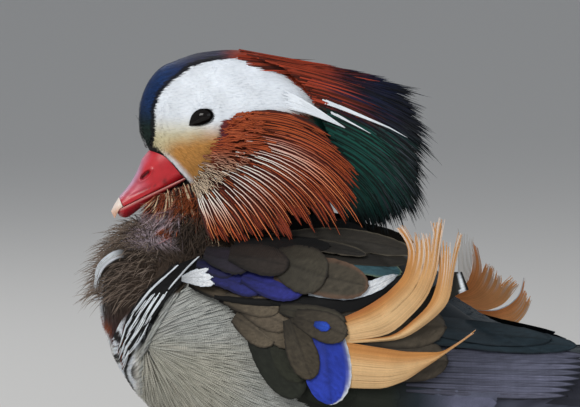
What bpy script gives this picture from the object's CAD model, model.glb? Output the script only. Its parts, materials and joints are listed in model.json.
# %% [markdown]
# # A drake mandarin duck, from its solids to its plumage
# The packed solids are the fixed frame: they give the place of every part, in metres, with the
# floor at zero. Everything that is made here is dressed over them, and only the tips of feathers
# reach past their box, by about a centimetre at most.
# A bird is built from the inside out: first one smooth skin, then the feathers in rows, each row
# rooted on the skin and lying over the next, and last the bare parts, bill, eyes and feet.

import json
import math

import bpy
import numpy as np
from numpy.random import default_rng
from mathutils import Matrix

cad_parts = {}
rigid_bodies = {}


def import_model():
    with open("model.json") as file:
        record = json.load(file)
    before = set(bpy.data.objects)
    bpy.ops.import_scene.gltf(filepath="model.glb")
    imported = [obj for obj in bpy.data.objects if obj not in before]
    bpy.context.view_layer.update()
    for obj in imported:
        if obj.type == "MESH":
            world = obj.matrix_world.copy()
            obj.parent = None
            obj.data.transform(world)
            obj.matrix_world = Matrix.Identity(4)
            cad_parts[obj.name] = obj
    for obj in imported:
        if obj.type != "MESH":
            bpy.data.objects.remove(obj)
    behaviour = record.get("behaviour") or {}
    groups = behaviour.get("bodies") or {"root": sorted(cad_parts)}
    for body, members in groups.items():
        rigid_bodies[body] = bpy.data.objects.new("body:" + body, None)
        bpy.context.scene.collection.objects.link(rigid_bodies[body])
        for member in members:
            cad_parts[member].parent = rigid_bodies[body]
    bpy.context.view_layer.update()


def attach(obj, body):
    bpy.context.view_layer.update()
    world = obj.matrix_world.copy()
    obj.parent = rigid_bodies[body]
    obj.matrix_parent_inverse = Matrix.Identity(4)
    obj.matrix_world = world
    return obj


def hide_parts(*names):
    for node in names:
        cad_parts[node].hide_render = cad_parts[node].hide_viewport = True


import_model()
MM = 0.001  # shapes are worked out in millimetres
LEFT, RIGHT = 1, -1
SIDES = ((LEFT, "left"), (RIGHT, "right"))


def told(values, digits=2):
    """Numbers as a short list to print."""
    return [round(float(v), digits) for v in np.ravel(values)]


# %% [markdown]
# ## The camera first
# The photograph was taken from the bird's left with a long lens, almost level with its head, and
# shows head, breast and the front of the wing. A picture 580 dots wide shows 232 mm of the bird.
# The camera stands far off, so that near and far side keep the same scale.

# %% Camera
SENSOR = 36.0
SHOWN_WIDTH = 232.0
CAMERA_FAR = 3400.0
CAMERA_RISE = math.radians(3.5)
LOOK_DOWN = math.tan(CAMERA_RISE)  # how much lower a point shows for each step to the camera
LOOK_AT = np.array([14.0, -84.0, 166.6])


def place_camera():
    """The camera stands CAMERA_FAR from LOOK_AT along +X, raised by CAMERA_RISE. Its lens is
    sensor width over shown width times the distance."""
    data = bpy.data.cameras.new("long_lens")
    data.sensor_width = SENSOR
    data.lens = SENSOR / SHOWN_WIDTH * CAMERA_FAR
    data.clip_start, data.clip_end = 0.1, 60.0
    camera = bpy.data.objects.new("camera", data)
    bpy.context.scene.collection.objects.link(camera)
    back = np.array([math.cos(CAMERA_RISE), 0.0, math.sin(CAMERA_RISE)])
    camera.location = (LOOK_AT + back * CAMERA_FAR) * MM
    camera.rotation_euler = (math.pi / 2 - CAMERA_RISE, 0.0, math.pi / 2)
    bpy.context.scene.camera = camera
    return camera


camera = place_camera()
print("lens:", round(camera.data.lens), "mm")

# %% [markdown]
# ## Smooth curves through a few sizes
# The body is described by tables: one row per slice across the bird, with its top, bottom, half
# width and the height of its widest place. A cubic curve that never overshoots joins the rows, so
# a few numbers give a whole smooth form, the same one that the solids were made from.


# %% Curves through rows
def keyed(table, column, at):
    """Value of a column between the rows of a table: a Hermite cubic whose slope at a row is the
    harmonic mean of the slopes on both sides, and zero where they differ in sign."""
    rows = np.array(table, float)
    x, y = rows[:, 0], rows[:, column]
    step = np.diff(x)
    slope = np.diff(y) / step
    a, b = slope[:-1], slope[1:]
    same = a * b > 0
    inner = np.where(same, 2 * a * b / np.where(same, a + b, 1), 0)
    tangent = np.concatenate([slope[:1], inner, slope[-1:]])
    at = np.clip(at, x[0], x[-1])
    k = np.clip(np.searchsorted(x, at, side="right") - 1, 0, len(x) - 2)
    t = (at - x[k]) / step[k]
    rise = y[k] * (2 * t**3 - 3 * t**2 + 1) + y[k + 1] * (3 * t**2 - 2 * t**3)
    return rise + step[k] * (
        tangent[k] * (t**3 - 2 * t**2 + t) + tangent[k + 1] * (t**3 - t**2)
    )


def unit(v):
    """Vectors of length one along v."""
    return v / np.maximum(np.linalg.norm(v, axis=-1, keepdims=True), 1e-9)


def smooth(a, b, x):
    """0 below a, 1 above b, and a smooth S between them: 3t^2 - 2t^3."""
    t = np.clip((x - a) / (b - a), 0, 1)
    return t * t * (3 - 2 * t)


print("a smooth step a quarter of the way:", smooth(0, 1, 0.25))

# %% [markdown]
# ## The body in three tables
# Torso, head and the bed under the wings have a table each. A slice is a superellipse, a little
# fuller than an oval, and both ends of a form are rounded off.

# %% Body tables
# rows: y, top, bottom, half width, height of the widest place
TORSO = {
    "front": -159.8, "rear": 70, "round_front": 26, "round_rear": 18, "power": 2.15,
    "table": [
        [-160, 164, 97, 34, 128], [-134, 159, 79, 41, 120], [-115, 154, 62, 46, 111],
        [-90, 155, 48, 50, 103], [-60, 153, 41, 52.5, 98], [-30, 135.5, 40, 50.5, 93],
        [0, 116.5, 44, 43, 88], [30, 107.5, 54, 32, 85], [55, 101, 65, 20, 84],
        [70, 97, 70, 14, 84],
    ],
}
HEAD = {
    "front": -145, "rear": -62, "round_front": 12, "round_rear": 16, "power": 2.1,
    "table": [
        [-145, 219, 186, 9, 199], [-138, 220.5, 178.5, 10.6, 198], [-132, 222.3, 173.5, 13.2, 197],
        [-126, 224.6, 169.5, 16.2, 197], [-120, 226.3, 167, 18.8, 197],
        [-108, 227.4, 165, 21, 197], [-96, 226, 166, 21, 197], [-84, 221.5, 170, 19, 198],
        [-72, 215, 178, 15, 199], [-62, 209, 186, 11, 199],
    ],
}
WING_BED = {
    "front": -170, "rear": 140, "round_front": 1, "round_rear": 1, "power": 2.15,
    "table": TORSO["table"][:6]
    + [
        [0, 117, 46, 43.5, 89], [30, 109.5, 62, 34, 89], [70, 105, 78, 22, 91.5],
        [112, 101, 86, 12, 93.5],
    ],
}


def slice_at(skin, y):
    """Middle height, rise above it, drop below it and half width of the slice at y, rounded off
    at both ends by the square root of 1 - t^2."""
    y = np.clip(y, skin["front"] + 0.01, skin["rear"] - 0.01)
    to_front = (skin["front"] + skin["round_front"] - y) / skin["round_front"]
    to_rear = (y - skin["rear"] + skin["round_rear"]) / skin["round_rear"]
    past = np.maximum(np.maximum(to_front, to_rear), 0)
    rounded = np.sqrt(np.maximum(1 - past**2, 1e-4))
    table = skin["table"]
    mid = keyed(table, 4, y)
    up = (keyed(table, 1, y) - mid) * rounded
    down = (mid - keyed(table, 2, y)) * rounded
    return mid, up, down, keyed(table, 3, y) * rounded


def skin_point(skin, y, angle):
    """Point of a slice at an angle in radians, 0 on the left side and a quarter turn on the back:
    a superellipse, cosine and sine each to the power 2 / n with their signs kept."""
    mid, up, down, wide = slice_at(skin, y)
    c, s = np.cos(angle), np.sin(angle)
    power = 2 / skin["power"]
    x = np.sign(c) * np.abs(c) ** power * wide
    z = mid + np.sign(s) * np.abs(s) ** power * np.where(s > 0, up, down)
    return np.stack([x, y + 0 * x, z], -1)


print("head slice at the eye:", told(slice_at(HEAD, -119.0), 1))

# %% [markdown]
# ## Near a skin
# Feathers have to know how far a point is from the skin and which way is out. Both come from one
# number, the reach, which is 1 on the skin and grows outwards.

# %% Near a skin
HEAD_LIMIT = 0.98  # the head is never thinner than it is at this share of its rise


def reach(skin, p):
    """How far out a point lies on its slice, 1 on the skin: the n-norm of its two parts."""
    mid, up, down, wide = slice_at(skin, p[..., 1])
    rise = p[..., 2] - mid
    upright = np.abs(rise) / np.where(rise > 0, up, down)
    n = skin["power"]
    return ((np.abs(p[..., 0]) / wide) ** n + upright**n) ** (1 / n)


def gradient(skin, p):
    """Change of reach per millimetre along the three axes, by differences over one millimetre."""
    halves = np.eye(3) / 2
    return np.stack([reach(skin, p + half) - reach(skin, p - half) for half in halves], -1)


def outward(skin, p):
    """Unit normals of a skin."""
    return unit(gradient(skin, p))


def on_skin(skin, p, lift=0.0):
    """Points moved onto the skin by two Newton steps down the gradient, then lifted off it."""
    for _ in range(2):
        g = gradient(skin, p)
        short = (reach(skin, p) - 1) / np.maximum((g**2).sum(-1), 1e-6)
        p = p - g * np.clip(short, -400, 400)[..., None]
    return p + outward(skin, p) * np.asarray(lift)[..., None]


def angle_at(skin, y, z):
    """Angle at which the slice at y reaches the height z on the left side."""
    mid, up, down, _ = slice_at(skin, y)
    part = np.clip((z - mid) / np.where(z > mid, up, down), -1, 1)
    return np.sign(part) * np.arcsin(np.abs(part) ** (skin["power"] / 2))


def side_at(skin, y, z, most=1.0):
    """Half width of a slice at a height, from the superellipse solved for x."""
    mid, up, down, wide = slice_at(skin, y)
    part = np.minimum(np.abs(z - mid) / np.where(z > mid, up, down), most)
    return wide * (1 - part ** skin["power"]) ** (1 / skin["power"])


def head_side(y, z):
    """Half width of the head at a height."""
    return side_at(HEAD, y, z, HEAD_LIMIT)


print("half width of the head at the eye:", told(head_side(-119.0, 202.0)))

# %% [markdown]
# ## Even places for the roots
# Roots follow a sequence that fills a skin evenly without clumps, so that no bald spot shows.


# %% Even places over a skin
def scatter(skin, count, seed):
    """Even places over a skin: the R2 sequence, its first number mapped through the area along
    the body and its second through the area round the slice."""
    rows, turns = 160, 180
    t = np.linspace(0, 1, rows + 1)
    span = skin["rear"] - skin["front"]
    y = skin["front"] + span * (1 - np.cos(np.pi * t)) / 2
    angle = np.linspace(-np.pi, np.pi, turns + 1)
    grid = skin_point(skin, y[:, None] + 0 * angle, angle[None, :] + 0 * y[:, None])
    along, round_ = grid[1:, :-1] - grid[:-1, :-1], grid[:-1, 1:] - grid[:-1, :-1]
    area = np.linalg.norm(np.cross(along, round_), axis=-1)
    n = np.arange(count) + 1
    s = (seed * 0.137 + n * 0.7548776662) % 1
    r = (seed * 0.291 + n * 0.5698402910) % 1
    total = np.concatenate([[0], np.cumsum(area.sum(1))])
    place = np.interp(s, total / total[-1], np.arange(rows + 1))
    row = np.minimum(place.astype(int), rows - 1)
    shares = np.cumsum(area, 1) / area.sum(1, keepdims=True)
    shares = np.concatenate([np.zeros((rows, 1)), shares], 1)[:, :-1]
    flat = (np.arange(rows)[:, None] + shares).ravel()
    cell = np.searchsorted(flat, row + r, side="right") - 1
    col = cell - row * turns
    start = shares[row, col]
    end = np.where(col + 1 < turns, shares[row, np.minimum(col + 1, turns - 1)], 1)
    part = (r - start) / np.maximum(end - start, 1e-9)
    y_at = np.interp(place, np.arange(rows + 1), y)
    return y_at, -np.pi + (col + part) * 2 * np.pi / turns


print("first root on the head:", told(scatter(HEAD, 1, 3)))

# %% [markdown]
# ## Where each colour lies
# The drake's pattern is drawn in side view: a dark crown stripe, a white face that is buff before
# the ruff, a chestnut ruff, a green and violet crest, brown breast, two white bars, grey barred
# flanks and a white belly. Each border is a line of named points, and a colour zone is what lies
# on one side of it. The same function tints the skin and roots of the feathers, so that both
# carry the same markings.


# %% Colour helpers
def rgb(code):
    """Linear colour of a hexadecimal screen colour."""
    c = np.array([int(code[i : i + 2], 16) for i in (0, 2, 4)]) / 255
    return np.where(c <= 0.04045, c / 12.92, ((c + 0.055) / 1.055) ** 2.4)


def mix(a, b, t):
    """a where t is 0, b where it is 1."""
    t = np.asarray(t)[..., None]
    return a * (1 - t) + b * t


def line(points, y):
    """Height of a border line at y, straight between its points."""
    rows = np.array(sorted(points), float)
    return np.interp(y, rows[:, 0], rows[:, 1])


def inside(outline, y, z):
    """Whether points lie in a closed outline: they do if a ray crosses it an odd number of
    times."""
    odd = np.zeros(np.shape(y), bool)
    for (y0, z0), (y1, z1) in zip(outline, outline[1:] + outline[:1]):
        if z0 == z1:
            continue
        crossing = y0 + (z - z0) * (y1 - y0) / (z1 - z0)
        odd ^= ((z0 > z) != (z1 > z)) & (y < crossing)
    return odd


def from_line(points, y, z):
    """Signed distance from a slanted border line, larger towards +Y."""
    rows = np.array(sorted(points, key=lambda q: q[1]), float)
    at = np.interp(z, rows[:, 1], rows[:, 0])
    lean = (rows[-1, 0] - rows[0, 0]) / (rows[-1, 1] - rows[0, 1])
    return (y - at) / math.hypot(1, lean)


WHITE = rgb("eef4fb")
CREAM = rgb("d9cfa8")
BUFF = rgb("c18a48")
NIGHT_GREEN = rgb("10241f")
NIGHT_BLUE = rgb("12305e")
NIGHT_VIOLET = rgb("171a3c")
RUFOUS = rgb("9c3b22")
CHESTNUT = rgb("7c3520")
CREST_GREEN = rgb("0d4a40")
CREST_BLUE = rgb("101a38")
CREST_BLACK = rgb("11141a")
BROWN = rgb("43362c")
MAROON = rgb("4a2a2a")
BLACK = rgb("0b0a0b")
FLANK_GREY = rgb("aeb0ab")
BELLY_WHITE = rgb("e6e4dc")
OLIVE = rgb("4a4136")
LILAC = rgb("aa9aa2")
WING_BLUE = rgb("2c3187")
SAIL = rgb("d29350")
SAIL_PALE = rgb("e6bd88")
RUST = rgb("8e4218")
SLATE = rgb("222e36")

print("white of the face:", told(WHITE))

# %% [markdown]
# ## Markings of the head
# The white of the face is a closed outline; the dark stripe lies over it and before it.

# %% Head markings
FACE = [
    (-138.8, 189.5), (-139.2, 203.8), (-137.4, 209.8), (-133.7, 214.6), (-126.5, 220.2),
    (-118.5, 223), (-109.9, 224.4), (-99.7, 222.9), (-91.7, 220), (-84.7, 215.4), (-77.5, 209.4),
    (-68.3, 203.3), (-60.5, 197.3), (-67.5, 200.6), (-81, 203.7), (-91.2, 204.4), (-105.2, 202.8),
    (-112.6, 200), (-116.8, 185.2), (-123, 172), (-127.5, 177),
]
# The ruff's front edge gives y at a height; the face's foot gives a height at y.
RUFF_EDGE = [(160, -124), (174.4, -123), (185, -117), (196, -108), (203, -99)]
FACE_FOOT = [
    (-125, 196), (-112, 200.6), (-105.2, 202.8), (-91.2, 204.4), (-81, 203.7), (-70, 201.2),
    (-60, 196.5),
]
BILL_BACK = [
    (-140, 190.5), (-137.5, 188.3), (-132.5, 183.5), (-128.6, 179.4), (-125.5, 176), (-123, 172),
]
HEAD_FRONT = -122


def head_colour(p):
    """Colours of the head from its side view: the face outline is white, creamy low in front and
    buff towards the ruff. What lies above and before it is the crown stripe, green, then blue,
    violet and rufous along the head."""
    y, z = p[..., 1], p[..., 2]
    stripe = mix(NIGHT_GREEN, NIGHT_BLUE, smooth(196, 207, z))
    stripe = mix(stripe, NIGHT_VIOLET, smooth(-136, -124, y))
    stripe = mix(stripe, RUFOUS, smooth(-117, -107, y))
    face = mix(WHITE, CREAM, smooth(203, 192, z) * smooth(-112, -124, y))
    buff = smooth(199, 190, z - 0.25 * (y + 122)) * smooth(-138, -130, y)
    face = mix(face, BUFF, buff)
    near = inside(FACE, -105 + (y + 105) / 1.045, 205 + (z - 205) / 1.09)
    stripe = mix(stripe, BLACK, near * smooth(-108, -118, y) * 0.9)
    colour = np.where(inside(FACE, y, z)[..., None], face, stripe)
    behind = from_line(BILL_BACK, y, z)
    patch = smooth(3.4, 1.0, behind) * smooth(189, 184, z) * smooth(172, 178, z)
    colour = mix(colour, WHITE, 0.85 * patch * (y < HEAD_FRONT))
    rim = smooth(0.75, 0.35, behind) * smooth(190, 187, z)
    colour = mix(colour, BLACK, rim * (y < HEAD_FRONT))
    cheek = (y > line(RUFF_EDGE, z)) & (z < line(FACE_FOOT, y))
    under = mix(CHESTNUT, CREST_GREEN, smooth(-82, -76, y))
    return np.where(cheek[..., None], under, colour)


print("colour of the upper cheek:", told(head_colour(np.array([[20.0, -110.0, 215.0]]))))

# %% [markdown]
# ## Markings of the body
# Two slanted border lines carry the white bars. Brown lies before them, grey and white behind.

# %% Body markings
BAR_ONE = [(-128.8, 142.0), (-132.6, 138.2), (-137.5, 133.5), (-142.5, 126.5), (-147.0, 119.0)]
BAR_TWO = [(-120.5, 145.5), (-125.5, 140.5), (-130.0, 135.0), (-134.0, 130.0), (-145.0, 109.0)]
BAR_FOOT = [(-149.0, 112.0), (-147.5, 106.0)]
BAR_WIDE = 0.75
FLANK_TOP = [
    (-170, 118), (-133, 131), (-123, 134.5), (-112, 131), (-104, 126.5), (-97, 116), (-92, 106),
    (-60, 92), (70, 92),
]
BELLY_TOP = [
    (-170, 100), (-150, 92), (-130, 78), (-100, 64), (-60, 56), (-10, 62), (30, 74), (70, 82),
]


def body_colour(p):
    """Colours of neck and body from the side view: brown before the bars, black between them,
    white on them, grey on the flank, dark above and white below."""
    y, z = p[..., 1], p[..., 2]
    one, two = from_line(BAR_ONE, y, z), from_line(BAR_TWO, y, z)
    brown = mix(BROWN, MAROON, smooth(-138, -152, y) * smooth(130, 116, z))
    brown = mix(brown, LILAC, smooth(149, 154, z) * smooth(-126, -131, y) * 0.9)
    front = smooth(2, -2, np.abs(p[..., 0]) - 4 - 0.4 * (136 - z)) * smooth(138, 134, z)
    brown = mix(brown, WHITE, front)
    brown = mix(brown, RUST, smooth(3.4, 2.2, np.hypot(y + 157.5, z - 119)))
    black = (one > -2.5) & (z < 145)
    colour = np.where(black[..., None], BLACK, brown)
    colour = np.where(((np.abs(one) < BAR_WIDE) & (z < 142.5))[..., None], WHITE, colour)
    upper = (z < 145.5) & (z > 129)
    colour = np.where(((np.abs(two) < BAR_WIDE) & upper)[..., None], WHITE, colour)
    low = smooth(114, 106, z) * smooth(6, -2, two)
    colour = mix(colour, BELLY_WHITE, low)
    flank = (two > BAR_WIDE * 1.3) & (z < line(FLANK_TOP, y))
    back = (two > BAR_WIDE * 1.3) & ~flank & ~((z > 145) & (y < -96))
    colour = np.where(flank[..., None], FLANK_GREY, colour)
    dark = mix(OLIVE, SLATE, smooth(-60, -30, y))
    colour = np.where(back[..., None], dark, colour)
    return mix(colour, BELLY_WHITE, smooth(5, -5, z - line(BELLY_TOP, y)))


print("colour of the breast:", told(body_colour(np.array([[30.0, -145.0, 140.0]]))))

# %% [markdown]
# ## Finishes for plumage
# A feather gets its colour from a point attribute called tint, worked out with numpy, because the
# pattern follows rows of feathers and no texture could. The shader adds what is finer than the
# mesh: barbs that leave the shaft at a slant, drawn in the feather's own UV map, which holds
# millimetres across and along it, and a cloudy variation over the whole bird.


# %% Node helpers
class Finish:
    """A new material with a Principled shader, and short helpers for its nodes. What goes into a
    socket may be another socket, a number or a colour."""

    def __init__(self, name):
        self.material = bpy.data.materials.new(name)
        self.material.use_nodes = True
        self.tree = self.material.node_tree
        self.shader = self.tree.nodes["Principled BSDF"]

    def add(self, kind, **settings):
        node = self.tree.nodes.new(kind)
        for key, value in settings.items():
            setattr(node, key, value)
        return node

    def put(self, value, socket):
        if isinstance(value, (int, float)):
            socket.default_value = value
        elif isinstance(value, (tuple, np.ndarray)):
            socket.default_value = (*[float(v) for v in value], 1.0)
        else:
            self.tree.links.new(value, socket)

    def tint(self):
        return self.add("ShaderNodeAttribute", attribute_name="tint").outputs["Color"]

    def objects(self):
        return self.add("ShaderNodeTexCoord").outputs["Object"]

    def split(self, vector):
        node = self.add("ShaderNodeSeparateXYZ")
        self.put(vector, node.inputs[0])
        return node.outputs

    def joined(self, *parts):
        node = self.add("ShaderNodeCombineXYZ")
        for part, socket in zip(parts, node.inputs):
            self.put(part, socket)
        return node.outputs[0]

    def math(self, operation, a, b=0.0):
        node = self.add("ShaderNodeMath", operation=operation)
        for value, socket in zip((a, b), node.inputs):
            self.put(value, socket)
        return node.outputs[0]

    def noise(self, vector, scale, detail=3.0):
        node = self.add("ShaderNodeTexNoise")
        for value, key in ((vector, "Vector"), (scale, "Scale"), (detail, "Detail")):
            self.put(value, node.inputs[key])
        return node.outputs["Fac"]

    def blend(self, kind, factor, a, b):
        node = self.add("ShaderNodeMix", data_type="RGBA", blend_type=kind)
        for value, place in ((factor, 0), (a, 6), (b, 7)):
            self.put(value, node.inputs[place])
        return node.outputs[2]

    def ramp(self, value, low, high, a=0.0, b=1.0):
        """Linear map of a value from low..high to a..b, clamped."""
        node = self.add("ShaderNodeMapRange")
        keys = ("Value", "From Min", "From Max", "To Min", "To Max")
        for number, key in zip((value, low, high, a, b), keys):
            self.put(number, node.inputs[key])
        return node.outputs[0]

    def shaded(self, colour, shade):
        """A colour times a grey."""
        return self.blend("MULTIPLY", 1.0, colour, self.joined(shade, shade, shade))

    def done(self, colour, settings, height=None, strength=0.0, distance=0.0003):
        """The material, with its colour and settings on the shader and a bump from height."""
        self.put(colour, self.shader.inputs["Base Color"])
        for key, value in settings.items():
            self.shader.inputs[key].default_value = value
        if height is not None:
            node = self.add("ShaderNodeBump")
            for value, key in ((height, "Height"), (strength, "Strength"), (distance, "Distance")):
                self.put(value, node.inputs[key])
            self.put(node.outputs[0], self.shader.inputs["Normal"])
        return self.material


print("node helpers:", ", ".join(key for key in vars(Finish) if key[0] != "_"))

# %% Plumage finish
BARB_SLANT = 0.8


def plumage(name, roughness=0.62, sheen=0.04, barb=0.35, period=0.55, streak=0.3, gloss=0.0):
    """Tint, darkened between barbs. A barb line is the sine of along less the slant times the
    distance from the shaft, over the period; streaks are noise stretched along the barbs."""
    f = Finish(name)
    place = f.split(f.add("ShaderNodeUVMap", uv_map="vane").outputs["UV"])
    across = f.math("ABSOLUTE", place[0])
    phase = f.math("SUBTRACT", place[1], f.math("MULTIPLY", across, BARB_SLANT))
    wave = f.math("SINE", f.math("MULTIPLY", phase, 2 * math.pi / (period * 0.1)))
    stretched = f.joined(f.math("MULTIPLY", phase, 14.0), f.math("MULTIPLY", across, 1.2))
    streaks = f.ramp(f.noise(stretched, 6.0), 0.3, 0.7, 1 - streak, 1 + streak * 0.4)
    cloud = f.ramp(f.noise(f.objects(), 120.0), 0.3, 0.7, 0.9, 1.06)
    barbs = f.ramp(wave, -1.0, 1.0, 1 - barb * 0.3, 1.0)
    shade = f.math("MULTIPLY", f.math("MULTIPLY", streaks, cloud), barbs)
    settings = {
        "Roughness": roughness, "Specular IOR Level": 0.2, "Sheen Weight": sheen,
        "Coat Weight": gloss,
    }
    return f.done(f.shaded(f.tint(), shade), settings, wave, barb)


print("plumage shader ready")

# %% [markdown]
# ## Meshes from whole arrays
# Every feather is a small grid: stations along it times columns across it. All feathers of a row
# are one array, so thousands cost no more code than one. The OFBake map gives each feather its own
# small patch where its root lies on an unwrap of the skin, so that baked colours don't mix.

# %% Mesh maker
BAKE_PATCH = 0.003
made_triangles = {}


def put_map(mesh, name, per_point, corners):
    """A UV map from values at the points."""
    layer = mesh.uv_layers.new(name=name)
    layer.uv.foreach_set("vector", per_point[corners].astype(np.float32).ravel())


def make_piece(name, points, faces, material, tint=None, maps=None):
    """An object at the origin from points in millimetres and faces of equal size."""
    mesh = bpy.data.meshes.new(name)
    faces = np.asarray(faces)
    mesh.vertices.add(len(points))
    mesh.vertices.foreach_set("co", (points * MM).astype(np.float32).ravel())
    mesh.loops.add(faces.size)
    mesh.loops.foreach_set("vertex_index", faces.astype(np.int32).ravel())
    mesh.polygons.add(len(faces))
    starts = np.arange(0, faces.size, faces.shape[1], dtype=np.int32)
    mesh.polygons.foreach_set("loop_start", starts)
    mesh.update(calc_edges=True)
    if tint is not None:
        colour = np.concatenate([np.clip(tint, 0, 1), np.ones((len(tint), 1))], 1)
        layer = mesh.attributes.new("tint", "FLOAT_COLOR", "POINT")
        layer.data.foreach_set("color", colour.astype(np.float32).ravel())
    for key, values in (maps or {}).items():
        put_map(mesh, key, values, faces.ravel())
    mesh.shade_smooth()
    mesh.materials.append(material)
    piece = bpy.data.objects.new(name, mesh)
    bpy.context.scene.collection.objects.link(piece)
    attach(piece, "root")
    made_triangles[name] = len(faces) * (faces.shape[1] - 2)
    print(name, made_triangles[name], "triangles")
    return piece


def grid_faces(count, rows, columns, start=0):
    """Quads of count grids of rows times columns points, wound to face outwards."""
    base = np.arange(count)[:, None, None] * rows * columns + start
    i = np.arange(rows - 1)[None, :, None] * columns
    j = np.arange(columns - 1)[None, None, :]
    a = (base + i + j).ravel()
    return np.stack([a, a + columns, a + columns + 1, a + 1], 1)


print("faces of a grid of 3 by 3 points:", len(grid_faces(1, 3, 3)))


# %% Coats
def unwrapped(skin, p):
    """Place on an unwrap of a skin: turn round the body and part of its length."""
    mid = keyed(skin["table"], 4, p[..., 1])
    turn = (np.arctan2(p[..., 2] - mid, p[..., 0]) + np.pi) / (2 * np.pi)
    part = (p[..., 1] - skin["front"]) / (skin["rear"] - skin["front"])
    return np.stack([turn, np.clip(part, 0, 1)], -1)


def feathers(skin, grid, u, c, tint, width, length):
    """One batch for a coat: grid of points, tint, the vane map in centimetres across and along,
    and the OFBake patch at each root."""
    count = len(grid)
    shape = grid.shape[:3]
    width, length = (np.broadcast_to(v, (count,)) for v in (width, length))
    across = 0.05 * width[:, None, None] * c + np.zeros(shape)
    along = 0.1 * length[:, None, None] * u[None, :, None] + np.zeros(shape)
    root = unwrapped(skin, grid[:, 0].mean(1))[:, None, None, :] * (1 - 3 * BAKE_PATCH)
    patch = np.stack([c / 2 + np.zeros(shape), u[None, :, None] - 0.5 + np.zeros(shape)], -1)
    bake = root + 1.5 * BAKE_PATCH + patch * BAKE_PATCH
    vane = np.stack([across, along], -1)
    return grid, np.broadcast_to(tint, (*shape, 3)), vane, bake


def to_side(side, grid, tint):
    """The left side's feathers as they are, or mirrored to the right."""
    grid = grid * np.array([side, 1.0, 1.0])
    if side > 0:
        return grid, tint
    return grid[:, :, ::-1], tint[:, :, ::-1]


def make_coat(name, batches, material):
    """One piece from batches of feathers."""
    points, faces, tints, vanes, bakes, start = [], [], [], [], [], 0
    for grid, tint, vane, bake in batches:
        count, rows, columns = grid.shape[:3]
        faces.append(grid_faces(count, rows, columns, start))
        start += count * rows * columns
        points.append(grid.reshape(-1, 3))
        tints.append(tint.reshape(-1, 3))
        vanes.append(vane.reshape(-1, 2))
        bakes.append(bake.reshape(-1, 2))
    maps = {"vane": np.concatenate(vanes), "OFBake": np.concatenate(bakes)}
    joined = [np.concatenate(v) for v in (points, faces, tints)]
    return make_piece(name, joined[0], joined[1], material, joined[2], maps)


print("side of a feather's bake patch:", BAKE_PATCH)

# %% [markdown]
# ## Feathers that follow the body
# A feather leaves its root at a slope from straight back, and is walked over the skin in short
# steps, each step brought back to the surface. Its outline is a width along its length: a vane is
# round at its end, a tuft runs to a point.


# %% Feather outlines
def stations_of(steps, power=1.5):
    """Parts of the length, closer towards the tip: 1 - (1 - t)^power."""
    return 1 - (1 - np.linspace(0, 1, steps + 1)) ** power


def vane_shape(u, widest=0.6):
    """Half a sine up to the widest place, then a quarter of an ellipse."""
    rising = 0.5 + 0.5 * np.sin(np.pi / 2 * np.minimum(u / widest, 1))
    past = np.clip((u - widest) / (1 - widest), 0, 1)
    return rising * np.sqrt(np.maximum(1 - past**2.2, 0.001))


def tuft_shape(u):
    """Widens a little, then runs out to a point: (0.6 + 0.8 u) (1 - u^1.6)."""
    return (0.6 + 0.8 * u) * (1 - 0.96 * u**1.6)


print("widest place of a vane:", told(vane_shape(np.array([0.6]))))


# %% Walking a feather over a skin
def walk(skin, y, angle, slope, length, u, curl=0.0):
    """Points, across directions and normals at stations u of paths that leave the skin's point at
    y and angle, heading back and down by slope, turning by curl in all."""
    p = skin_point(skin, y, angle)
    slope, length = (np.broadcast_to(v, y.shape) for v in (slope, length))
    places, acrosses, normals = [], [], []
    for i, part in enumerate(u):
        n = outward(skin, p)
        back = unit(np.array([0.0, 1.0, 0.0]) - n * n[..., 1:2])
        up = np.cross(n, back) * np.clip(p[..., :1] / 6, -1, 1)
        a = (slope + curl * part)[..., None]
        heading = unit(back * np.cos(a) - up * np.sin(a))
        places.append(p)
        acrosses.append(np.cross(n, heading))
        normals.append(n)
        if i + 1 < len(u):
            ahead = length[..., None] * (u[i + 1] - part)
            p = on_skin(skin, p + heading * ahead)
    return np.stack(places, 1), np.stack(acrosses, 1), np.stack(normals, 1)


def widened(path, across, width, outline, c):
    """Points of feathers on paths: out along across by c times half the width and the outline."""
    out = width[:, None] / 2 * outline[None, :]
    return path[:, :, None] + across[:, :, None] * (out[:, :, None] * c)[..., None]


def lay(skin, y, angle, slope, length, width, rise, **more):
    """Grids of feathers over a skin. Lift off the skin is -sink at the root and rise at the tip,
    plus crown (1 - c^2) in the middle of the vane."""
    more = {"sink": 0.6, "steps": 4, "columns": 2, "shape": vane_shape, "crown": 0.3} | more
    u = stations_of(more["steps"], more.get("power", 1.5))
    c = np.linspace(-1, 1, more["columns"] + 1)
    p, across, n = walk(skin, y, angle, slope, length, u, more.get("curl", 0.0))
    width, rise = (np.broadcast_to(v, y.shape) for v in (width, rise))
    place = widened(p, across, width, more["shape"](u), c)
    lift = -more["sink"] + (rise[:, None] + more["sink"]) * u[None, :] ** more.get("spring", 0.7)
    height = lift[:, :, None] + more["crown"] * (1 - c**2)
    if more.get("hug", True):
        grid = on_skin(skin, place, height)
    else:
        grid = place + n[:, :, None] * height[..., None]
    return grid, u, c


TUFT = {"columns": 1, "shape": tuft_shape, "crown": 0.0, "hug": False, "power": 1.0}


print("a tuft is laid with:", ", ".join(TUFT))


# %% Tints of feathers
def jitter(rng, count, spread):
    """Factors round 1."""
    return 1 + spread * rng.uniform(-1, 1, count)


def painted(colour, grid, u, share=0.4, root_dark=0.25):
    """Tint of each point from a colour function, read part of the way out from the root, and
    darker where the feather before it lies over the root."""
    root = grid[:, :1].mean(2, keepdims=True)
    tint = colour(root + share * (grid - root))
    return tint * (1 - root_dark * (1 - u) ** 2)[None, :, None, None]


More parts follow.
